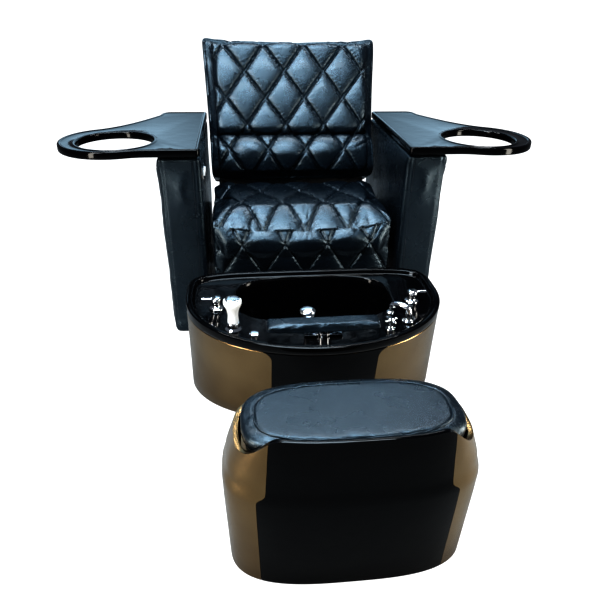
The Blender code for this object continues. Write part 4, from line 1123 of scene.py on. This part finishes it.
def build_basin_walls():
    quarter = math.pi / 2.0

    def centre_span(z):
        half = panel_split(z) - GAP
        outline = basin_outline(z)
        return angle_at(outline, -half, -2.0 * quarter, -quarter), angle_at(outline, half, -quarter, 0.0)

    def right_span(z):
        outline = basin_outline(z)
        first = angle_at(outline, panel_split(z) + GAP, -quarter, 0.0)
        return first, angle_at(outline, BASIN_REAR_EDGE, quarter, 0.05)

    add_piece(basin_wall(centre_span, 40), "basin_centre_cover", "root", "gloss_black",
              ("basin_front_panel",))
    for side, label in ((-1.0, "left"), (1.0, "right")):
        shape = basin_wall(right_span, 90)
        if side < 0:
            flipped(shape)
        add_piece(shape, "basin_wrap_" + label, "root", "champagne_gold", ("basin_side_" + label,))


# ---------------------------------------------------------------- fittings
def fitting(profile, place, segments=56, loop=False):
    return moved(lathe(rounded(profile, 0.0012) if not loop else profile, segments, loop), place)


def bar(path, radii, flat=0.55):
    """A handle swept along a path and flattened in height about its start."""
    shape = sweep(path, radii, 24)
    base = path[0][2]
    for vert in shape.verts:
        vert.co.z = base + (vert.co.z - base) * flat
    return shape


def build_levers():
    deck = DECK_Z + GAP
    for side, label in ((-1.0, "hot"), (1.0, "cold")):
        place = (side * abs(HOT.x), HOT.y, 0.0)
        profile = [(0.0115, 0.216), (0.0115, deck), (0.0210, deck), (0.0205, deck + 0.0035),
                   (0.0150, deck + 0.0075)]
        profile += [(0.0120, deck + 0.011), (0.0118, 0.3055), (0.0100, 0.3058)]
        add_piece(fitting(profile, place), label + "_valve_body", "root", "chrome", (label + "_valve",))
        base = 0.3064
        profile = [(0.0120, base), (0.0158, base + 0.0012), (0.0160, base + 0.0060), (0.0150, base + 0.0120),
                   (0.0110, base + 0.0160), (0.0050, base + 0.0174)]
        path = [(0.004, 0.0, base + 0.0110), (0.016, 0.0, base + 0.0114), (0.026, 0.0, base + 0.0118),
                (0.034, 0.0, base + 0.0120), (0.0400, 0.0, base + 0.0120), (0.0425, 0.0, base + 0.0120)]
        handle = bar(path, [0.0070, 0.0062, 0.0058, 0.0064, 0.0056, 0.0020])
        shape = joined([fitting(profile, (0.0, 0.0, 0.0)), handle])
        if side < 0:
            flipped(shape)
        add_piece(moved(shape, place), label + "_handle", label + "_handle", "chrome", (label + "_lever",))


def build_spout():
    place = (SPOUT.x, SPOUT.y, 0.0)
    deck = DECK_Z + GAP
    profile = [(0.0095, 0.241), (0.0095, deck), (0.0180, deck), (0.0175, deck + 0.004),
               (0.0125, deck + 0.0080)]
    profile += [(0.0108, deck + 0.014), (0.0100, 0.312), (0.0092, 0.316)]
    body = fitting(profile, (0.0, 0.0, 0.0))
    places = ((0.0, 0.306), (0.0, 0.314), (0.002, 0.3205), (0.008, 0.3255), (0.018, 0.3275),
              (0.030, 0.3270), (0.042, 0.3245), (0.050, 0.3200), (0.0545, 0.3140), (0.0560, 0.3065))
    path = [(x, 0.0, z) for x, z in places]
    neck = sweep(path, [0.0088, 0.0088, 0.0090, 0.0090, 0.0088, 0.0084, 0.0080, 0.0078, 0.0078, 0.0080], 28)
    turn = math.radians(48.0) + math.pi / 2.0
    shape = joined([body, moved(neck, turn=turn)])
    add_piece(moved(shape, place), "spout_neck", "tap_spout", "chrome", ("spout",))


def build_diverter():
    place = (DIVERTER.x, DIVERTER.y, 0.0)
    deck = DECK_Z + GAP
    profile = [(0.0078, 0.251), (0.0078, deck), (0.0140, deck), (0.0132, deck + 0.006),
               (0.0085, deck + 0.010)]
    profile += [(0.0070, 0.300), (0.0072, 0.309), (0.0102, 0.3125), (0.0104, 0.3195), (0.0066, 0.3238)]
    shapes = [fitting(profile, (0.0, 0.0, 0.0))]
    for arm in range(4):
        path = [(x, 0.0, 0.316) for x in (0.004, 0.011, 0.016, 0.0190, 0.0204)]
        shapes.append(moved(sweep(path, [0.0034, 0.0030, 0.0034, 0.0034, 0.0014], 18),
                            turn=0.4 + arm * math.pi / 2.0))
    add_piece(moved(joined(shapes), place), "diverter_cross", "diverter", "chrome", ("diverter_knob",))


def build_button_and_knobs():
    deck = DECK_Z + GAP
    button = 0.5 * (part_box("jet_button")[0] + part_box("jet_button")[1])
    head = DECK_Z + 0.0045
    profile = [(0.0078, 0.263), (0.0078, head), (0.0132, head), (0.0136, head + 0.0030),
               (0.0126, head + 0.0060),
               (0.0080, head + 0.0078), (0.0030, head + 0.0084)]
    add_piece(fitting(profile, (button.x, button.y, 0.0)), "jet_button_cap", "button", "chrome",
              ("jet_button",))
    profile = [(0.0048, 0.263), (0.0048, deck), (0.0120, deck), (0.0118, deck + 0.009),
               (0.0108, deck + 0.0130),
               (0.0070, deck + 0.0160), (0.0030, deck + 0.0166)]
    ribbed = lathe(rounded(profile, 0.0010), 72)
    for vert in ribbed.verts:
        radius = math.hypot(vert.co.x, vert.co.y)
        if radius > 0.0105 and deck + 0.001 < vert.co.z < deck + 0.012:
            turn = math.atan2(vert.co.y, vert.co.x)
            grip = 1.0 - 0.045 * (0.5 + 0.5 * math.cos(turn * 18.0))
            vert.co.x *= grip
            vert.co.y *= grip
    add_piece(moved(ribbed, (DRAIN_KNOB.x, DRAIN_KNOB.y, 0.0)), "drain_knob_cap", "drain_control", "chrome",
              ("drain_knob",))
    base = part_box("footrest_lock_knob")[0].z
    profile = [(0.0080, base), (0.0084, base + 0.012), (0.0090, base + 0.020), (0.0150, base + 0.0245),
               (0.0210, base + 0.0275), (0.0230, base + 0.0325), (0.0215, base + 0.0375),
               (0.0170, base + 0.0410),
               (0.0100, base + 0.0434), (0.0030, base + 0.0440)]
    add_piece(fitting(profile, (LOCK_KNOB.x, LOCK_KNOB.y, 0.0), 64), "lock_knob_cap", "lock_knob", "chrome",
              ("footrest_lock_knob",))


def build_spray():
    deck = DECK_Z + GAP
    holder = 0.5 * (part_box("spray_holder")[0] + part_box("spray_holder")[1])
    place = (holder.x, holder.y, 0.0)
    profile = [(0.0140, 0.250), (0.0140, deck), (0.0230, deck), (0.0228, deck + 0.003),
               (0.0200, deck + 0.0060),
               (0.0172, deck + 0.0085), (0.0165, deck + 0.0120), (0.0165, 0.3062), (0.0158, 0.3076),
               (0.0146, 0.3080),
               (0.0126, 0.3080), (0.0120, 0.3074), (0.0120, 0.250)]
    add_piece(fitting(profile, place, 64, True), "spray_socket", "root", "chrome", ("spray_holder",))
    profile = [(0.0090, 0.262), (0.0112, 0.300), (0.0112, 0.3086), (0.0148, 0.3100), (0.0146, 0.3160),
               (0.0138, 0.3260),
               (0.0140, 0.3340), (0.0152, 0.3420), (0.0178, 0.3505), (0.0216, 0.3580), (0.0238, 0.3640),
               (0.0241, 0.3700), (0.0232, 0.3735), (0.0212, 0.3752), (0.0190, 0.3756)]
    shell = moved(lathe(profile, 72), place)
    add_piece(shell, "spray_body", "spray", "white_plastic", ("spray_head",))
    face = moved(lathe([(0.0198, 0.3745), (0.0196, 0.3776), (0.0180, 0.3790), (0.0120, 0.3797),
                        (0.0030, 0.3800)], 64), place)
    dots = []
    for count, radius in ((6, 0.006), (11, 0.0105), (16, 0.0148)):
        for i in range(count):
            turn = 2.0 * math.pi * i / count
            nozzle = lathe([(0.0008, 0.3780), (0.0008, 0.3806), (0.0004, 0.3811)], 8)
            dots.append(moved(nozzle, (place[0] + radius * math.cos(turn),
                                       place[1] + radius * math.sin(turn), 0.0)))
    add_piece(face, "spray_face", "spray", "chrome")
    add_piece(joined(dots), "spray_nozzles", "spray", "rubber")


def build_footrest():
    """Bracket, post and the padded bar across the basin's front."""
    low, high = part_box("footrest_bracket")
    plate = box_shape((low.x, low.y + 0.015, low.z), (high.x, high.y, low.z + 0.0046), 0.0016, 3)
    centre = (0.0, FRONT - 0.478, 0.0)
    collar = lathe([(0.0116, low.z), (0.0175, low.z), (0.0178, low.z + 0.010), (0.0168, high.z),
                    (0.0122, high.z),
                    (0.0116, high.z - 0.0006)], 48, True)
    add_piece(joined([plate, moved(collar, centre)]), "footrest_plate", "root", "chrome",
              ("footrest_bracket",))
    foot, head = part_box("footrest_post")
    profile = [(0.0100, foot.z), (0.0110, foot.z + 0.001), (0.0110, head.z - 0.0040),
               (0.0290, head.z - 0.0032),
               (0.0300, head.z - 0.0024), (0.0300, head.z)]
    add_piece(moved(lathe(profile, 48), centre), "footrest_stem", "footrest", "chrome", ("footrest_post",))

    low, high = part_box("footrest_pad")
    half = high.x - 0.003
    shares = [-1.0 + i / 12.0 for i in range(25)]
    front = [(half * share, low.y + 0.004 + 0.010 * share * share) for share in shares]
    outline = front + [(half, high.y - 0.003), (-half, high.y - 0.003)]
    rings = [[(x, y, z) for x, y in outline] for z in (low.z + 0.0005, high.z - 0.007)]
    shape = loft(rings)
    bevelled(shape, list(shape.edges), 0.004, 2)
    piece = relaxed(voxelled(shape, "footrest_cover", 0.0035), 2)

    def held(points):
        return ramped(points[:, 2] - low.z - 0.003, 0.008)

    refined(swollen(piece, 4.0, 0.006, held))
    points = coordinates(piece)
    piping = np.abs(points[:, 2] - low.z - 0.0090)
    sides = ramped(0.5 - np.abs(normals(piece)[:, 2]), 0.3)
    pushed(piece, -0.0014 * dip(piping, 0.0014) * sides)
    upholstered(piece, "footrest", ("footrest_pad",))


# ---------------------------------------------------------------- stool
def stool_outline(size):
    def outline(angle):
        return superellipse(angle, size[0], size[1], 3.0)

    return outline


def blend_size(low, high, share):
    return tuple(a + (b - a) * share for a, b in zip(low, high))


def stool_top(angle):
    """Height of the stool's rim: a lip along the near side, lower round the rest."""
    x, y = stool_outline(STOOL_RIM)(angle)
    if y > 0.0:
        return STOOL_SIDE_TOP
    return STOOL_SIDE_TOP + (STOOL_LIP - STOOL_SIDE_TOP) * (1.0 - smoothstep(0.145, 0.230, abs(x)))


LEDGE_RISES = ((-0.012, 0.0), (-0.006, 0.04), (0.0, 0.14), (0.006, 0.30), (0.012, 0.50), (0.018, 0.70),
               (0.024, 0.86),
               (0.032, 1.0))


def stool_levels(angle):
    """(height, outline size) pairs up the outside of the shell at one angle."""
    top = stool_top(angle)
    base = STOOL_LEDGE_Z + 0.034
    levels = [(SHELL_FLOOR + 0.0012, STOOL_FLOOR)]
    for share in (0.2, 0.4, 0.6, 0.8):
        levels.append((SHELL_FLOOR + (STOOL_LEDGE_Z - 0.014 - SHELL_FLOOR) * share,
                       blend_size(STOOL_FLOOR, STOOL_LEDGE_LOW, min(1.0, share * 1.08))))
    levels += [(STOOL_LEDGE_Z + rise, blend_size(STOOL_LEDGE_LOW, STOOL_LEDGE_HIGH, share))
               for rise, share in LEDGE_RISES]
    for share in (0.2, 0.4, 0.6, 0.8, 0.93, 0.985):
        levels.append((base + (top - base) * share, blend_size(STOOL_LEDGE_HIGH, STOOL_RIM, share)))
    return levels


def stool_split(z):
    """Half the width of the centre panel: the gold reaches further in above the ledge."""
    step = smoothstep(0.0, 1.0, (z - STOOL_LEDGE_Z + 0.006) / 0.018)
    rise = max(0.0, (z - STOOL_LEDGE_Z - 0.010) / (STOOL_LIP - STOOL_LEDGE_Z))
    return STOOL_PANEL_HALF - 0.014 * step + 0.010 * rise


def stool_wall(span, steps):
    """A strip of the stool's shell with rounded edges."""
    wall = 0.010
    count = len(stool_levels(0.0))
    rings = []
    for i in range(-1, steps + 2):
        share = min(1.0, max(0.0, i / steps))
        drawn = 0.0015 if i in (-1, steps + 1) else 0.0
        ring = []
        order = [(k, drawn) for k in range(count)] + [(count - 1, 0.0030), (count - 1, wall - 0.0030)]
        order += [(k, wall) for k in reversed(range(0, count, 3))]
        for place, (k, inset) in enumerate(order):
            first, last = span(STOOL_SIDE_TOP * k / count)
            guess = first + (last - first) * share
            z, size = stool_levels(guess)[k]
            first, last = span(z)
            angle = first + (last - first) * share
            if place in (count, count + 1):
                z = stool_top(angle)
            x, y = inset_point(stool_outline(size), angle, inset)
            ring.append((x, STOOL_Y + y, z))
        rings.append(ring)
    return loft(rings)


def build_stool():
    outline = stool_outline(STOOL_LEDGE_LOW)
    quarter = math.pi / 2.0

    def centre_span(z):
        half = stool_split(z) - GAP
        return angle_at(outline, -half, -2.0 * quarter, -quarter), angle_at(outline, half, -quarter, 0.0)

    def wrap_span(z):
        first = angle_at(outline, stool_split(z) + GAP, -quarter, 0.0)
        return first, math.pi - first

    add_piece(stool_wall(centre_span, 60), "stool_centre_cover", "stool", "gloss_black",
              ("stool_centre_panel",))
    add_piece(stool_wall(wrap_span, 150), "stool_wrap", "stool", "champagne_gold", ("stool_shell",))

    low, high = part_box("stool_cushion")
    half = (high.x - 0.003, (high.y - low.y) / 2.0 - 0.003)
    top = high.z
    rim = STOOL_SIDE_TOP + 0.0015
    heights = ((low.z + 0.0005, 0.006, 0.0), (low.z + 0.008, 0.001, 0.0), (rim - 0.004, 0.0, 0.0),
               (rim, 0.0, 0.9), (rim + 0.003, 0.0, 1.0), (top - 0.009, 0.0, 1.0), (top - 0.004, 0.003, 1.0),
               (top - 0.002, 0.008, 1.0))
    rings = []
    for z, inset, over in heights:
        ring = []
        for x, y, _ in ring_of(stool_outline((half[0] - inset, half[1] - inset)), z, 0.0, 96):
            share = over * max(smoothstep(0.150, 0.205, abs(x)), smoothstep(0.0, 0.06, y))
            ring.append((x * (1.0 + 0.030 * share), STOOL_Y + y * (1.0 + 0.085 * share), z))
        rings.append(ring)
    piece = relaxed(voxelled(loft(rings), "stool_cover", 0.0045), 1)

    def held(points):
        side = ramped(points[:, 2] - top + 0.010, 0.008)
        return side

    refined(swollen(piece, 3.0, 0.006, held))
    points = coordinates(piece)
    across = points[:, 0] / (half[0] - 0.020)
    along = (points[:, 1] - STOOL_Y) / (half[1] - 0.020)
    reach = (np.abs(across) ** 3 + np.abs(along) ** 3) ** (1.0 / 3.0)
    seam = np.abs(reach - 1.0) * 0.09
    upwards = ramped(points[:, 2] - top + 0.030, 0.01)
    pushed(piece, -0.0022 * dip(seam, 0.0018) * upwards)
    points = coordinates(piece)
    points[:, 2] = eased(points[:, 2], top - 0.001, 0.007)
    write_back(piece, points)
    upholstered(piece, "stool", ("stool_cushion",))

    surface = surface_of(piece)
    path = []
    for x, y, _ in ring_of(stool_outline((half[0] - 0.020, half[1] - 0.020)), 0.0, 0.0, 120):
        hit = surface.ray_cast(Vector((x, STOOL_Y + y, top + 0.05)), Vector((0.0, 0.0, -1.0)), 0.2)[0]
        path.append(hit + Vector((0.0, 0.0, 0.0010)))
    rings = []
    for i, point in enumerate(path):
        along = (path[(i + 1) % len(path)] - path[i - 1]).normalized()
        out = along.cross(Vector((0.0, 0.0, 1.0))).normalized()
        up = out.cross(along)
        turns = [2.0 * math.pi * k / 12 for k in range(12)]
        rings.append([point + (out * math.cos(t) + up * math.sin(t)) * 0.0020 for t in turns])
    add_piece(loft(rings, True), "stool_piping", "stool", "black_leather", (), 80.0)


# ---------------------------------------------------------------- the CAD nodes that stay
def finish_nodes():
    """Give each CAD node that still shows the material of its slot."""
    slots = {}
    for entry in frame["record"]["materials"]:
        for node in entry.get("nodes", []):
            slots[node] = entry["slot"]
    for name, node in frame["nodes"].items():
        if node.hide_render:
            continue
        current = node.data.materials[0].name if node.data.materials else "black_plastic"
        slot = slots.get(name, current.split(".")[0])
        material = MATERIALS.get(slot, MATERIALS["black_plastic"])
        node.data.materials.clear()
        node.data.materials.append(material)
        for face in node.data.polygons:
            face.use_smooth = True
            face.material_index = 0
        node.data.set_sharp_from_angle(angle=math.radians(SHARP))


# ---------------------------------------------------------------- floor, light and camera
def add_light(name, place, aim, size, power, colour):
    data = bpy.data.lights.new(name, "AREA")
    data.shape = "RECTANGLE"
    data.size, data.size_y = size
    data.energy = power
    data.color = colour
    light = bpy.data.objects.new(name, data)
    light.location = place
    light.visible_camera = False
    light.rotation_euler = (Vector(aim) - Vector(place)).to_track_quat("-Z", "Y").to_euler()
    bpy.context.scene.collection.objects.link(light)


def build_studio():
    scene = bpy.context.scene
    shape = bmesh.new()
    reach = 400.0
    corners = ((-reach, -reach), (reach, -reach), (reach, reach), (-reach, reach))
    shape.faces.new([shape.verts.new((x, y, 0.0)) for x, y in corners])
    floor = linked(shape, "floor")
    floor.data.materials.append(floor_paint())

    world = bpy.data.worlds.new("studio")
    world.use_nodes = True
    tree = world.node_tree
    backdrop = tree.nodes["Background"]
    backdrop.inputs["Color"].default_value = (1.0, 1.0, 1.0, 1.0)
    backdrop.inputs["Strength"].default_value = 1.0
    dim = tree.nodes.new("ShaderNodeBackground")
    dim.inputs["Color"].default_value = (0.80, 0.87, 1.0, 1.0)
    dim.inputs["Strength"].default_value = 0.11
    paths = tree.nodes.new("ShaderNodeLightPath")
    choose = tree.nodes.new("ShaderNodeMixShader")
    tree.links.new(paths.outputs["Is Camera Ray"], choose.inputs["Fac"])
    tree.links.new(dim.outputs["Background"], choose.inputs[1])
    tree.links.new(backdrop.outputs["Background"], choose.inputs[2])
    tree.links.new(choose.outputs["Shader"], tree.nodes["World Output"].inputs["Surface"])
    scene.world = world

    aim = (0.0, FRONT - 0.1, 0.35)
    add_light("key", (-1.7, FRONT - 1.9, 2.6), aim, (0.9, 0.7), 70.0, (0.86, 0.94, 1.0))
    add_light("ceiling", (-0.25, FRONT - 0.5, 2.9), (-0.25, FRONT - 0.45, 0.0), (1.3, 1.6), 46.0,
              (0.58, 0.82, 1.0))
    add_light("roll", (-0.2, FRONT - 0.75, 2.6), (-0.1, FRONT + 0.2, 0.5), (1.7, 0.22), 48.0,
              (0.80, 0.92, 1.0))
    add_light("rear", (0.0, FRONT + 2.7, 1.9), (0.0, FRONT - 0.4, 0.6), (3.2, 2.0), 24.0, (0.50, 0.78, 1.0))
    add_light("strip", (0.0, FRONT + 0.6, 2.3), (0.0, FRONT - 0.5, 0.4), (2.6, 0.07), 34.0,
              (0.94, 0.97, 1.0))
    add_light("left_edge", (-1.5, FRONT - 1.35, 0.7), (0.0, FRONT - 0.45, 0.3), (0.34, 1.4), 26.0,
              (1.0, 0.94, 0.84))
    add_light("right_edge", (1.6, FRONT - 0.95, 0.7), (0.0, FRONT - 0.35, 0.3), (0.40, 1.4), 32.0,
              (1.0, 0.96, 0.86))

    scene.view_settings.view_transform = "Standard"
    scene.view_settings.look = "High Contrast"
    data = bpy.data.cameras.new("camera")
    data.lens = CAMERA_LENS
    camera = bpy.data.objects.new("camera", data)
    c, s = math.cos(CAMERA_YAW), math.sin(CAMERA_YAW)
    right = Vector((c, -s, 0.0))
    ahead = Vector((s * math.cos(CAMERA_PITCH), c * math.cos(CAMERA_PITCH), -math.sin(CAMERA_PITCH)))
    up = right.cross(ahead)
    turned = right * math.cos(CAMERA_ROLL) + up * math.sin(CAMERA_ROLL)
    above = up * math.cos(CAMERA_ROLL) - right * math.sin(CAMERA_ROLL)
    axes = Matrix((turned, above, -ahead)).transposed().to_4x4()
    camera.matrix_world = Matrix.Translation(Vector(CAMERA_PLACE)) @ axes
    scene.collection.objects.link(camera)
    scene.camera = camera


build_seat()
build_back()
for arm_side, arm_label in ((-1.0, "left"), (1.0, "right")):
    build_arm(arm_side, arm_label)
    build_tray(arm_side, arm_label, arm_label + "_tray")
build_rear_panel()
build_tub()
build_basin_walls()
build_levers()
build_spout()
build_diverter()
build_button_and_knobs()
build_spray()
build_footrest()
build_stool()
finish_nodes()
build_studio()
